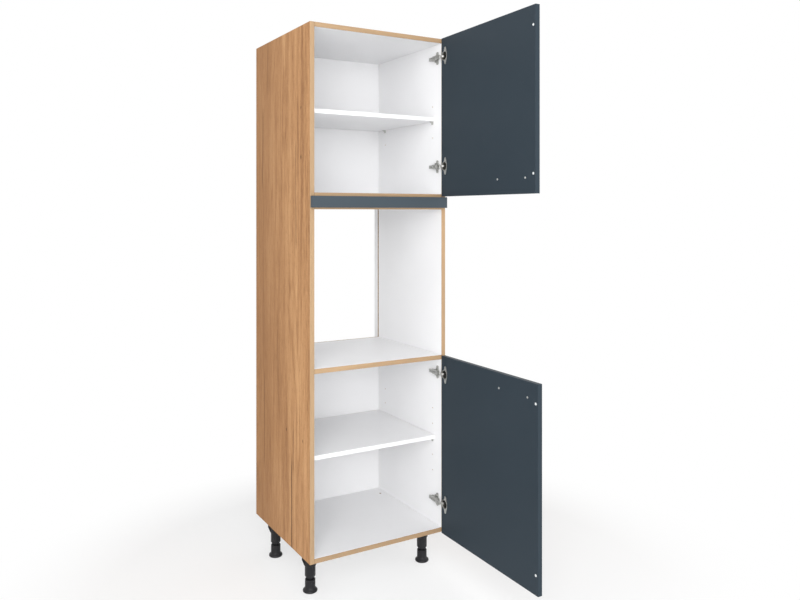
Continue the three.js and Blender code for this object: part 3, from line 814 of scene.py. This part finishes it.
def coat(piece: bpy.types.Object, material: bpy.types.Material) -> None:
    """Gives a piece or a CAD node one material, and reports it.

    Args:
        piece: The piece or node.
        material: Its material.
    """
    piece.data.materials.clear()
    piece.data.materials.append(material)
    log.info("%s in %s", piece.name, material.name)


class Finishes:
    """The finishes that several pieces share, each named by the record's material slot."""

    def __init__(self) -> None:
        """Makes each shared material once."""
        self.by_slot: Dict[str, bpy.types.Material] = {
            "door_lacquer": SilkLacquer().material("silk_lacquer"),
            "nickel_steel": NickelPlate().material("nickel_plate"),
            "handle_steel": BrushedSteel().material("brushed_steel"),
            "black_plastic": MouldedPlastic().material("moulded_plastic"),
            "clear_plastic": ClearPad().material("clear_pad"),
        }

    def fit(self, piece: bpy.types.Object, slot: str, body: str, *stands_for: str) -> None:
        """Gives a piece a slot's finish and fits it into the model.

        Args:
            piece: The piece.
            slot: The material slot.
            body: The body that it rides on.
            stands_for: The CAD node that it stands for, where there is one.
        """
        coat(piece, self.by_slot[slot])
        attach(piece, body)
        if stands_for:
            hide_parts(*stands_for)

    def fasten(
        self, name: str, mesh: bpy.types.Mesh, spot: Vector, outward: Vector, roll: float, body: str
    ) -> None:
        """Places a small nickel-plated fastener.

        Args:
            name: Its name.
            mesh: Its mesh.
            spot: Where it sits.
            outward: Where its head points.
            roll: Its turn about that line, in degrees.
            body: The body that it rides on.
        """
        self.fit(placed(name, mesh, spot, outward, roll), "nickel_steel", body)


# --- mesh helpers


def link_mesh(name: str, mesh: bpy.types.Mesh) -> bpy.types.Object:
    """Puts a mesh in the scene as an object.

    Args:
        name: The object's name.
        mesh: The mesh.

    Returns:
        The object.
    """
    piece = bpy.data.objects.new(name, mesh)
    bpy.context.scene.collection.objects.link(piece)
    return piece


def closed_mesh(name: str, body: bmesh.types.BMesh) -> bpy.types.Mesh:
    """Turns a closed body's data into a mesh whose faces point outward.

    Args:
        name: The mesh's name.
        body: The body, which is freed.

    Returns:
        The mesh.
    """
    bmesh.ops.recalc_face_normals(body, faces=body.faces)
    mesh = bpy.data.meshes.new(name)
    body.to_mesh(mesh)
    body.free()
    return mesh


def baked(piece: bpy.types.Object) -> None:
    """Applies a piece's modifiers to a mesh of its own.

    Args:
        piece: The piece.
    """
    graph = bpy.context.evaluated_depsgraph_get()
    mesh = bpy.data.meshes.new_from_object(piece.evaluated_get(graph))
    piece.modifiers.clear()
    piece.data = mesh


def smooth_below(mesh: bpy.types.Mesh, angle: float) -> None:
    """Shades a mesh smooth, apart from edges sharper than an angle in degrees."""
    mesh.polygons.foreach_set("use_smooth", [True] * len(mesh.polygons))
    mesh.set_sharp_from_angle(angle=math.radians(angle))


def revolved(name: str, profile: Profile, segments: int) -> bpy.types.Mesh:
    """Turns a profile round the Z axis.

    Args:
        name: The mesh's name.
        profile: Radius and height, from the axis at the bottom to the axis at the top.
        segments: Steps round the axis.

    Returns:
        The closed mesh.
    """
    body = bmesh.new()
    turn = 2 * math.pi / segments
    rings: List[List[bmesh.types.BMVert]] = []
    for radius, height in profile:
        steps = segments if radius else 1
        rings.append([
            body.verts.new((radius * math.cos(i * turn), radius * math.sin(i * turn), height))
            for i in range(steps)
        ])
    for below, above in zip(rings, rings[1:]):
        for i in range(segments):
            j = (i + 1) % segments
            corners = [ring[k % len(ring)] for ring, k in ((below, i), (below, j), (above, j), (above, i))]
            body.faces.new(list(dict.fromkeys(corners)))
    return closed_mesh(name, body)


def placed(name: str, mesh: bpy.types.Mesh, spot: Vector, outward: Vector, roll: float) -> bpy.types.Object:
    """Puts a copy of a mesh at a spot, its Z axis pointing outward.

    Args:
        name: The object's name.
        mesh: The mesh, shared by all its copies.
        spot: Where its origin goes.
        outward: Where its Z axis points.
        roll: A turn about that axis, in degrees.

    Returns:
        The object.
    """
    piece = link_mesh(name, mesh)
    turn = outward.to_track_quat("Z", "Y").to_matrix().to_4x4()
    piece.matrix_world = Matrix.Translation(spot) @ turn @ Matrix.Rotation(math.radians(roll), 4, "Z")
    return piece


@dataclass(frozen=True)
class ScrewHead:
    """A screw head with a cross recess, built up the Z axis from the face that it sits on.

    Attributes:
        radius: The head's radius.
        height: How far it stands up.
        recess: Length of the recess's arms from the axis.
        slot: Width of the recess's arms.
        shank: Length of the shank under the head, where it shows.
        neck: The shank's radius, as a share of the head's.
        rim: Height of the head's straight rim, as a share of its height.
        dome_steps: Steps up the dome over the rim.
        segments: Steps round the head.
    """

    radius: float
    height: float
    recess: float
    slot: float
    shank: float = 0.0
    neck: float = 0.7
    rim: float = 0.35
    dome_steps: int = 5
    segments: int = 28

    def mesh(self, name: str) -> bpy.types.Mesh:
        """Builds the head with its recess cut.

        Args:
            name: The mesh's name.

        Returns:
            The closed mesh.
        """
        turns = [i * math.pi / 2 / self.dome_steps for i in range(self.dome_steps)]
        dome = [
            (self.radius * math.cos(turn), self.height * (self.rim + (1 - self.rim) * math.sin(turn)))
            for turn in turns
        ]
        neck = self.radius * self.neck
        foot = [(0.0, -self.shank), (neck, -self.shank), (neck, 0.0)] if self.shank else [(0.0, 0.0)]
        profile = [*foot, (self.radius, 0.0), *dome, (0.0, self.height)]
        head = link_mesh(name, revolved(name, profile, self.segments))
        cutter = link_mesh(name + "_cutter", self.cross())
        cut = head.modifiers.new("recess", "BOOLEAN")
        cut.object, cut.operation, cut.solver = cutter, "DIFFERENCE", "EXACT"
        baked(head)
        mesh = head.data
        smooth_below(mesh, 35)
        for helper in (head, cutter):
            bpy.data.objects.remove(helper)
        return mesh

    def cross(self) -> bpy.types.Mesh:
        """Makes the tapered cross that cuts the recess.

        Returns:
            The closed mesh.
        """
        half = self.slot / 2
        body = bmesh.new()
        rings = []
        # the recess's floor and a level over the head, as shares of the head's height and the arms' length
        for height, reach in ((0.35, 0.7), (1.4, 1.15)):
            corners = [(half, half), (half, self.recess * reach), (-half, self.recess * reach)]
            ring = []
            for _ in range(4):
                ring += [body.verts.new((x, y, self.height * height)) for x, y in corners]
                corners = [(-y, x) for x, y in corners]
            rings.append(ring)
        low, high = rings
        for i in range(len(low)):
            j = (i + 1) % len(low)
            body.faces.new([low[i], low[j], high[j], high[i]])
        for ring in rings:
            body.faces.new(ring)
        return closed_mesh("cross", body)


@dataclass(frozen=True)
class RoundedCopy:
    """How a CAD node is rebuilt with rounded edges.

    Attributes:
        edge: Radius of the rounded edges.
        steps: Faces across a rounded edge.
        lowered: Bands of height, as low, high and how far their corners hang lower than in the CAD node.
        sharp: Edges that turn by more than this many degrees are rounded.
        flat: Faces that turn by less than this many degrees become one.
        smooth: Edges that turn by less than this many degrees are shaded smooth.
        weld: Corners closer than this are one.
    """

    edge: float
    steps: int = 2
    lowered: Tuple[Tuple[float, float, float], ...] = ()
    sharp: float = 38.0
    flat: float = 0.6
    smooth: float = 30.0
    weld: float = 1e-6

    def build(self, node: str, finishes: Finishes) -> bpy.types.Object:
        """Rebuilds a node, and lets the new piece stand for it.

        Args:
            node: The CAD node.
            finishes: Where its material comes from.

        Returns:
            The piece.
        """
        body = bmesh.new()
        body.from_mesh(frame["nodes"][node].data)
        bmesh.ops.remove_doubles(body, verts=body.verts, dist=self.weld)
        bmesh.ops.dissolve_limit(
            body, angle_limit=math.radians(self.flat), verts=body.verts, edges=body.edges,
            use_dissolve_boundaries=False)
        for low, high, drop in self.lowered:
            for vertex in body.verts:
                if low < vertex.co.z < high:
                    vertex.co.z -= drop
        piece = link_mesh("shaped_" + node, closed_mesh(node, body))
        edge = piece.modifiers.new("edges", "BEVEL")
        edge.width, edge.segments = self.edge, self.steps
        edge.limit_method, edge.angle_limit = "ANGLE", math.radians(self.sharp)
        edge.use_clamp_overlap = True
        baked(piece)
        smooth_below(piece.data, self.smooth)
        finishes.fit(piece, slot_of_node(node), body_of_node(node), node)
        return piece


def body_of_node(node: str) -> str:
    """Names the body that a CAD node rides on."""
    bodies = frame["record"]["behaviour"]["bodies"]
    return next(body for body, members in bodies.items() if node in members)


def slot_of_node(node: str) -> str:
    """Names a CAD node's material slot."""
    parts = frame["record"]["subparts"]
    return next(part["material_slot"] for part in parts if part["node"] == node)


# --- the carcase


@dataclass
class Carcase:
    """The boards of the carcase with their backs and adjustable shelves."""

    left_cracks: Tuple[Crack, ...] = (
        Crack(0.172, -0.05, 0.33, 0.0070, 0.9),
        Crack(0.158, 0.30, 0.47, 0.0040, 0.6),
        Crack(0.425, 1.79, 2.05, 0.0055, 0.8),
        Crack(0.482, 1.40, 1.72, 0.0065, 0.9),
        Crack(0.470, 0.62, 1.42, 0.0040, 0.45),
        Crack(0.462, 0.24, 0.62, 0.0060, 0.7),
        Crack(0.130, 1.16, 1.56, 0.0050, 0.6),
    )
    left_knots: Tuple[Knot, ...] = (
        Knot(0.083, 1.692, 0.005),
        Knot(0.083, 1.505, 0.007),
        Knot(0.224, 0.445, 0.006),
        Knot(0.066, 0.438, 0.005),
    )
    right_cracks: Tuple[Crack, ...] = (
        Crack(0.120, 1.10, 1.85, 0.0050, 0.7),
        Crack(0.395, 0.10, 0.74, 0.0065, 0.85),
    )
    right_knots: Tuple[Knot, ...] = (Knot(0.300, 1.250, 0.006), Knot(0.470, 0.900, 0.005))

    def dress(self) -> None:
        """Gives each board its layered finish."""
        self._board(
            "side_panel_left", Axis.X, Axis.Z, oak_faces=(-1,), cracks=self.left_cracks,
            knots=self.left_knots)
        self._board(
            "side_panel_right", Axis.X, Axis.Z, oak_faces=(1,), seed=3.1, cracks=self.right_cracks,
            knots=self.right_knots)
        for number, node in enumerate(("top_panel", "bottom_panel", "oven_shelf", "upper_fixed_shelf")):
            self._board(node, Axis.Z, Axis.X, seed=5.3 + number * 1.7)
        self._board("front_rail", Axis.Y, Axis.X, oak_faces=(-1,), seed=13.7)
        for node in ("upper_shelf", "lower_shelf"):
            self._board(node, Axis.Z, Axis.X, oak_edging=False)
        for node in ("back_panel_upper", "back_panel_lower"):
            self._board(node, Axis.Y, Axis.X, oak_edging=False)

    def _board(self, node: str, thickness: Axis, grain: Axis, **details: object) -> None:
        """Gives one board its material.

        Args:
            node: The board's CAD node.
            thickness: The axis across its broad faces.
            grain: The axis of its oak grain.
            details: What else BoardFaces holds of it.
        """
        low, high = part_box(node)
        faces = BoardFaces(low, high, thickness, grain, **details)
        coat(frame["nodes"][node], faces.material(node + "_board"))


@dataclass
class ShelfSupports:
    """The angle supports under the adjustable shelves."""

    rounding: RoundedCopy = RoundedCopy(0.0003)

    def build(self, finishes: Finishes) -> None:
        """Rebuilds each support with rounded edges.

        Args:
            finishes: Where the materials come from.
        """
        for shelf in ("upper", "lower"):
            for row in ("front", "rear"):
                for side in ("left", "right"):
                    self.rounding.build(f"{shelf}_shelf_support_{row}_{side}", finishes)
        log.info("built the shelf supports")


# --- legs


@dataclass(frozen=True)
class TurnedFoot:
    """A levelling foot, turned up the Z axis from the floor: a rounded base, a flare and a ribbed collar.

    Attributes:
        base: Radius of the base.
        collar: Radius of the collar.
        bore: Radius of the bore, a little over the leg's stem.
        floor: Height of the bore's floor.
        height: The foot's height.
        ribs: Grip ribs round the collar.
        ribbed: The collar's ribs stand between these heights.
        groove: Depth between two ribs.
    """

    base: float = 0.0280
    collar: float = 0.0199
    bore: float = 0.0144
    floor: float = 0.0050
    height: float = 0.0480
    ribs: int = 16
    ribbed: Tuple[float, float] = (0.0190, 0.0450)
    groove: float = 0.0007

    def mesh(self) -> bpy.types.Mesh:
        """Builds the foot.

        Returns:
            The closed mesh.
        """
        base, collar, bore, top = self.base, self.collar, self.bore, self.height
        profile = [
            (0.0, 0.0006), (base - 0.0060, 0.0006), (base - 0.0050, 0.0), (base - 0.0024, 0.0003),
            (base - 0.0007, 0.0018), (base, 0.0042), (base - 0.0001, 0.0066), (base - 0.0010, 0.0088),
            (base - 0.0028, 0.0104), (base - 0.0048, 0.0116), (collar + 0.0016, 0.0134),
            (collar + 0.0005, 0.0152), (collar, 0.0176), (collar, 0.0200), (collar, 0.0440),
            (collar, top - 0.0016), (collar - 0.0004, top - 0.0005), (collar - 0.0014, top),
            (bore + 0.0028, top), (bore + 0.0020, top - 0.0006), (bore, top - 0.0040), (bore, self.floor),
            (0.0, self.floor),
        ]
        mesh = revolved("turned_foot", profile, self.ribs * 6)
        low, high = self.ribbed
        for vertex in mesh.vertices:
            place = vertex.co
            if low < place.z < high and math.hypot(place.x, place.y) > (collar + bore) / 2:
                turn = math.atan2(place.y, place.x) * self.ribs
                shrink = 1 - self.groove / collar * (0.5 + 0.5 * math.cos(turn)) ** 3
                place.x, place.y = place.x * shrink, place.y * shrink
        smooth_below(mesh, 50)
        return mesh


@dataclass
class LevellingLegs:
    """The four legs with their feet, and the screws that hold their flanges.

    Attributes:
        places: Where the legs stand.
        rounding: How a leg is rebuilt. Its socket, ribs and screw bosses hang lower than in the CAD node.
        foot: The foot under each leg.
        boss_reach: A flange's screws from the leg's axis, along X and along Y.
        boss_drop: Face of the flange's bosses under the carcase.
        head: The screws' heads.
        roll: Turn of a screw's recess from the last one's, in degrees.
    """

    places: Tuple[str, ...] = ("front_left", "front_right", "rear_left", "rear_right")
    rounding: RoundedCopy = RoundedCopy(
        0.0006, lowered=((0.109, 0.115, 0.009), (0.129, 0.131, 0.004), (0.140, 0.142, 0.005)))
    foot: TurnedFoot = TurnedFoot()
    boss_reach: float = 0.027
    boss_drop: float = 0.014
    head: ScrewHead = ScrewHead(radius=0.0036, height=0.0017, recess=0.0021, slot=0.0009)
    roll: float = 17.0

    def build(self, finishes: Finishes) -> None:
        """Rebuilds the legs and feet and adds their screws.

        Args:
            finishes: Where the materials come from.
        """
        screw, turned = self.head.mesh("leg_screw"), self.foot.mesh()
        down = Vector((0, 0, -1))
        for where in self.places:
            self.rounding.build(f"leg_{where}", finishes)
            node = f"levelling_foot_{where}"
            low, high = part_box(node)
            spot = Vector(((low.x + high.x) / 2, (low.y + high.y) / 2, low.z))
            foot = placed("turned_" + node, turned, spot, Vector((0, 0, 1)), 0.0)
            finishes.fit(foot, "black_plastic", body_of_node(node), node)
            low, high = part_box(f"leg_{where}")
            middle = (low + high) / 2
            for number, (x, y) in enumerate(((-1, -1), (1, -1), (-1, 1), (1, 1))):
                spot = Vector((
                    middle.x + x * self.boss_reach, middle.y + y * self.boss_reach, high.z - self.boss_drop))
                finishes.fasten(
                    f"leg_screw_{where}_{number}", screw, spot, down, self.roll * number, "carcase")
        log.info("built four legs")


# --- doors and hinges


@dataclass
class CupHinge:
    """One concealed hinge: its cup and flange on the door, its arm and plate on the carcase, and its link.

    Attributes:
        door: The door's body.
        which: lower or upper.
        inner_face: The door's inner face, from its pole.
        cup_inset: Centre of the cup from the pole, towards the free edge.
        wing_offset: The flange's screw line, further in than the cup's centre.
        flange_top: Face of the cup's flange above the door's inner face.
        flange_screws: Half the distance between the flange's two screws.
        plate_setback: The mounting plate's screw line behind the carcase's front edge.
        plate_screws: Half the distance between the plate's two screws.
        boss_top: Face of the plate's bosses, in from the side panel.
        arm_screws: The arm's screws: setback behind the front edge, the head's underside in from the side
            panel, and the shank's length down to the plate.
        pin_inset: The arm's pin, in from the side panel.
        pin_setback: The arm's pin in front of the carcase.
        nose_half: Half the width of the arm's nose.
        rounding: How the hinge's parts are rebuilt.
        link_shaded_plating: A darker copy of the plating for the link, as painted shade for the crevice between
            the arm and the cup.
        flange_head: Heads of the flange's screws.
        plate_head: Heads of the plate's screws.
        arm_head: Heads of the arm's screws.
        rolls: Turns of the recesses of the flange's, the plate's and the arm's screws, in degrees.
        rivet: Profile of the pin's riveted heads, as radius and height.
    """

    door: str
    which: str
    inner_face: float = 0.016
    cup_inset: float = 0.015
    wing_offset: float = 0.0065
    flange_top: float = 0.0014
    flange_screws: float = 0.024
    plate_setback: float = 0.028
    plate_screws: float = 0.016
    boss_top: float = 0.0040
    arm_screws: Tuple[Tuple[str, float, float, float], ...] = (
        ("adjusting", 0.0317, 0.0138, 0.0095), ("fixing", 0.0507, 0.0112, 0.0084))
    pin_inset: float = 0.0165
    pin_setback: float = 0.0093
    nose_half: float = 0.007
    rounding: RoundedCopy = RoundedCopy(0.0003)
    link_shaded_plating: NickelPlate = NickelPlate((0.46, 0.46, 0.44, 1.0), (0.3, 0.3, 0.29, 1.0))
    flange_head: ScrewHead = ScrewHead(0.0036, 0.0011, 0.0022, 0.0010)
    plate_head: ScrewHead = ScrewHead(0.0038, 0.0019, 0.0024, 0.0010)
    arm_head: ScrewHead = ScrewHead(0.0023, 0.0014, 0.0016, 0.0008)
    rolls: Tuple[float, float, float] = (23.0, 31.0, 20.0)
    rivet: Profile = ((0.0, 0.0), (0.0021, 0.0), (0.0020, 0.0005), (0.0013, 0.0009), (0.0, 0.0010))

    def build(self, finishes: Finishes) -> None:
        """Rebuilds the hinge and adds its screws and rivets.

        Args:
            finishes: Where the materials come from.
        """
        label = f"{self.door}_{self.which}_hinge"
        cup, _, _, link = (
            self.rounding.build(f"{label}_{part}", finishes) for part in ("cup", "arm", "plate", "link"))
        # The link takes a darker copy of the plating, as painted shade for the crevice that it sits in.
        coat(link, self.link_shaded_plating.material(f"{label}_link_shaded_plating"))
        low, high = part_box(f"{label}_cup")
        height = (low.z + high.z) / 2
        joint = next(joint for joint in frame["joints"] if joint["name"] == f"{self.door}_swing")
        pole = Vector((joint["pos_m"][0], joint["pos_m"][1], height))
        turn = Matrix.Rotation(math.radians(-joint["range_deg"][0]), 4, "Z")
        outward = turn @ Vector((0, 1, 0))
        # The cup's plating gets painted shade down in its well.
        coat(cup, PaintedShadeWell(pole + outward * self.inner_face, outward).material(f"{label}_well"))

        ends = (("low", -1), ("high", 1))
        flange_roll, plate_roll, arm_roll = self.rolls
        screw = self.flange_head.mesh(label + "_flange_screw")
        for end, way in ends:
            local = Vector((
                -self.cup_inset - self.wing_offset,
                self.inner_face + self.flange_top,
                way * self.flange_screws,
            ))
            spot = pole + turn @ local
            finishes.fasten(f"{label}_flange_screw_{end}", screw, spot, outward, flange_roll * way, self.door)
        panel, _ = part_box("side_panel_right")
        screw = self.plate_head.mesh(label + "_plate_screw")
        inward = Vector((-1, 0, 0))
        for end, way in ends:
            spot = Vector((
                panel.x - self.boss_top, panel.y + self.plate_setback, height + way * self.plate_screws))
            finishes.fasten(f"{label}_plate_screw_{end}", screw, spot, inward, plate_roll * way, "carcase")
        for name, setback, inset, shank in self.arm_screws:
            screw = replace(self.arm_head, shank=shank).mesh(f"{label}_{name}_screw")
            spot = Vector((panel.x - inset, panel.y + setback, height))
            finishes.fasten(f"{label}_{name}_screw", screw, spot, inward, arm_roll, "carcase")
        rivet = revolved(label + "_rivet", self.rivet, 24)
        smooth_below(rivet, 50)
        for end, way in ends:
            spot = Vector((
                panel.x - self.pin_inset, panel.y - self.pin_setback, height + way * self.nose_half))
            finishes.fasten(f"{label}_rivet_{end}", rivet, spot, Vector((0, 0, way)), 0.0, "carcase")


@dataclass
class HungDoor:
    """One door with its handle and bumpers, and the two hinges that carry it.

    Attributes:
        body: The door's CAD node, which is also its body.
        bow: How the handle is rebuilt.
        small: How the handle's screws and the bumpers are rebuilt.
    """

    body: str
    bow: RoundedCopy = RoundedCopy(0.0012, steps=3)
    small: RoundedCopy = RoundedCopy(0.0003)

    def build(self, finishes: Finishes) -> None:
        """Dresses the door and builds all that it carries.

        Args:
            finishes: Where the materials come from.
        """
        coat(frame["nodes"][self.body], finishes.by_slot["door_lacquer"])
        self.bow.build(f"{self.body}_handle", finishes)
        for part in ("screw_outer", "screw_inner", "bumper_bottom", "bumper_top"):
            self.small.build(f"{self.body}_{part}", finishes)
        for which in ("lower", "upper"):
            CupHinge(self.body, which).build(finishes)
        log.info("built the %s", self.body)


# --- studio and camera


@dataclass(frozen=True)
class Lamp:
    """A soft square lamp.

    Attributes:
        name: Its name.
        spot: Where it hangs.
        size: Its side.
        power: Its power in watts.
    """

    name: str
    spot: Tuple[float, float, float]
    size: float
    power: float

    def build(self, target: Vector) -> None:
        """Adds the lamp.

        Args:
            target: What it looks at.
        """
        lamp = bpy.data.lights.new(self.name, "AREA")
        lamp.shape, lamp.size, lamp.energy = "SQUARE", self.size, self.power
        holder = bpy.data.objects.new(self.name, lamp)
        bpy.context.scene.collection.objects.link(holder)
        holder.location = self.spot
        holder.rotation_euler = (target - Vector(self.spot)).to_track_quat("-Z", "Y").to_euler()


@dataclass
class Studio:
    """The pale floor, the soft lamps and the white surroundings.

    Attributes:
        floor_half: Half the floor's side.
        floor_tint: The floor's colour.
        fade_from: Distance from the unit at which the floor starts to turn into the white surroundings.
        fade_to: Distance at which it has.
        near_glow: How white the floor already looks beside the unit, from 0 to 1.
        surround: Strength of the light from all round.
        card: The card behind the unit, which holds off light from the back: left, right, bottom and top.
        card_back: How far back it stands.
        card_tint: Its colour.
        lamps: The lamps, which look at the middle of the unit.
    """

    floor_half: float = 30.0
    floor_tint: Colour = (0.9, 0.9, 0.9, 1.0)
    fade_from: float = 0.5
    fade_to: float = 1.6
    near_glow: float = 0.55
    surround: float = 1.0
    card: Tuple[float, float, float, float] = (-2.6, 2.2, 0.02, 2.8)
    card_back: float = 1.5
    card_tint: Colour = (0.2, 0.2, 0.2, 1.0)
    lamps: Tuple[Lamp, ...] = (
        Lamp("key", (-2.4, -3.9, 3.0), 2.8, 100.0),
        Lamp("side", (-2.6, -4.4, 1.4), 2.6, 80.0),
        Lamp("fill", (1.0, -5.4, 1.0), 2.4, 40.0),
    )

    def build(self) -> None:
        """Builds the floor, the card, the lamps and the world."""
        self._floor()
        self._card()
        low, high = CAD_BOX
        for lamp in self.lamps:
            lamp.build((low + high) / 2)
        self._world()
        log.info("built the studio")

    @staticmethod
    def _sheet(name: str, corners: Sequence[Tuple[float, float, float]]) -> bpy.types.Object:
        """Makes a flat sheet that is no part of the unit.

        Args:
            name: Its name.
            corners: Its four corners in turn.

        Returns:
            The sheet.
        """
        mesh = bpy.data.meshes.new(name)
        mesh.from_pydata(corners, [], [(0, 1, 2, 3)])
        sheet = link_mesh(name, mesh)
        return sheet

    def _floor(self) -> None:
        """Makes the floor, which keeps the unit's shadow near the unit."""
        half = self.floor_half
        floor = self._sheet("floor", [(-half, -half, 0), (half, -half, 0), (half, half, 0), (-half, half, 0)])
        shader = Shader("pale_floor", Base_Color=self.floor_tint, Roughness=0.9, Specular_IOR_Level=0.1)
        flat = shader.vector("MULTIPLY", shader.place(), Vector((1.0, 1.0, 0.0)))
        away = shader.node("ShaderNodeVectorMath", {"operation": "LENGTH"}, {0: flat}, "Value")
        seen = shader.node("ShaderNodeLightPath", result="Is Camera Ray")
        glow = shader.node("ShaderNodeEmission", sockets={"Color": WHITE, "Strength": 1.0})
        factor = shader.step(away, self.fade_from, self.fade_to).larger(self.near_glow) * seen
        surface = Socket(shader, shader.surface.outputs[0])
        mixed = shader.node("ShaderNodeMixShader", sockets={0: factor, 1: surface, 2: glow})
        shader.feed(shader.tree.nodes["Material Output"].inputs["Surface"], mixed)
        coat(floor, shader.material)

    def _card(self) -> None:
        """Stands a dark card behind the unit, seen by diffuse light alone."""
        left, right, bottom, top = self.card
        back = self.card_back
        corners = [(left, back, bottom), (right, back, bottom), (right, back, top), (left, back, top)]
        card = self._sheet("flag", corners)
        coat(card, Shader("flag_card", Base_Color=self.card_tint, Roughness=0.9).material)
        card.visible_camera = card.visible_glossy = card.visible_transmission = False

    def _world(self) -> None:
        """Makes surroundings that look white, in the metal too, and light softly."""
        world = bpy.data.worlds.new("surroundings")
        world.use_nodes = True
        nodes = Nodes(world.node_tree)
        shown = nodes.tree.nodes["Background"]
        shown.inputs["Color"].default_value = WHITE
        light = nodes.node("ShaderNodeBackground", sockets={"Color": WHITE, "Strength": self.surround})
        rays = ("Camera", "Glossy", "Transmission")
        seen = [nodes.node("ShaderNodeLightPath", result=f"Is {ray} Ray") for ray in rays]
        factor = reduce(Socket.larger, seen)
        background = Socket(nodes, shown.outputs[0])
        mixed = nodes.node("ShaderNodeMixShader", sockets={0: factor, 1: light, 2: background})
        nodes.feed(nodes.tree.nodes["World Output"].inputs["Surface"], mixed)
        bpy.context.scene.world = world


@dataclass
class PhotoCamera:
    """The camera at the photograph's viewing angle, level, placed from the carcase's front lower left corner.

    Attributes:
        offset: The camera's place from that corner.
        yaw: Its turn to the right, in degrees.
        focal_pixels: Its focal length in pixels of the photograph.
        centre_x: The column that it looks at.
        horizon_y: The row that it looks at.
        width: The photograph's width in pixels.
        height: The photograph's height in pixels.
        sensor: The sensor's width in millimetres.
        reach: How far it sees.
    """

    offset: Vector = Vector((-1.1626, -2.5823, 1.2985))
    yaw: float = 30.5025
    focal_pixels: float = 766.24
    centre_x: float = 394.12
    horizon_y: float = 211.81
    width: float = 800.0
    height: float = 600.0
    sensor: float = 36.0
    reach: float = 100.0

    def build(self) -> None:
        """Adds the camera and makes it the scene's."""
        corner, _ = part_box("side_panel_left")
        data = bpy.data.cameras.new("photo_camera")
        data.sensor_width = self.sensor
        data.lens = self.sensor * self.focal_pixels / self.width
        data.shift_x = (self.width / 2 - self.centre_x) / self.width
        data.shift_y = (self.horizon_y - self.height / 2) / self.width
        data.clip_end = self.reach
        camera = bpy.data.objects.new("photo_camera", data)
        camera.location = corner + self.offset
        camera.rotation_euler = (math.pi / 2, 0.0, -math.radians(self.yaw))
        bpy.context.scene.collection.objects.link(camera)
        bpy.context.scene.camera = camera
        log.info("placed the camera")


def main() -> None:
    """Builds the looks, from the camera to the last screw."""
    logging.basicConfig(level=logging.INFO, format="%(name)s: %(message)s")
    bpy.context.scene.view_settings.view_transform = "Standard"
    PhotoCamera().build()
    Studio().build()
    finishes = Finishes()
    Carcase().dress()
    # The trim strip takes a lighter copy of the doors' lacquer, as painted light for the sheen that its front
    # catches.
    lit_trim_lacquer = SilkLacquer(srgb(68, 77, 84), srgb(63, 72, 79)).material("lit_trim_lacquer")
    coat(frame["nodes"]["trim_strip"], lit_trim_lacquer)
    ShelfSupports().build(finishes)
    LevellingLegs().build(finishes)
    for door in ("upper_door", "lower_door"):
        HungDoor(door).build(finishes)


if __name__ == "__main__":
    main()
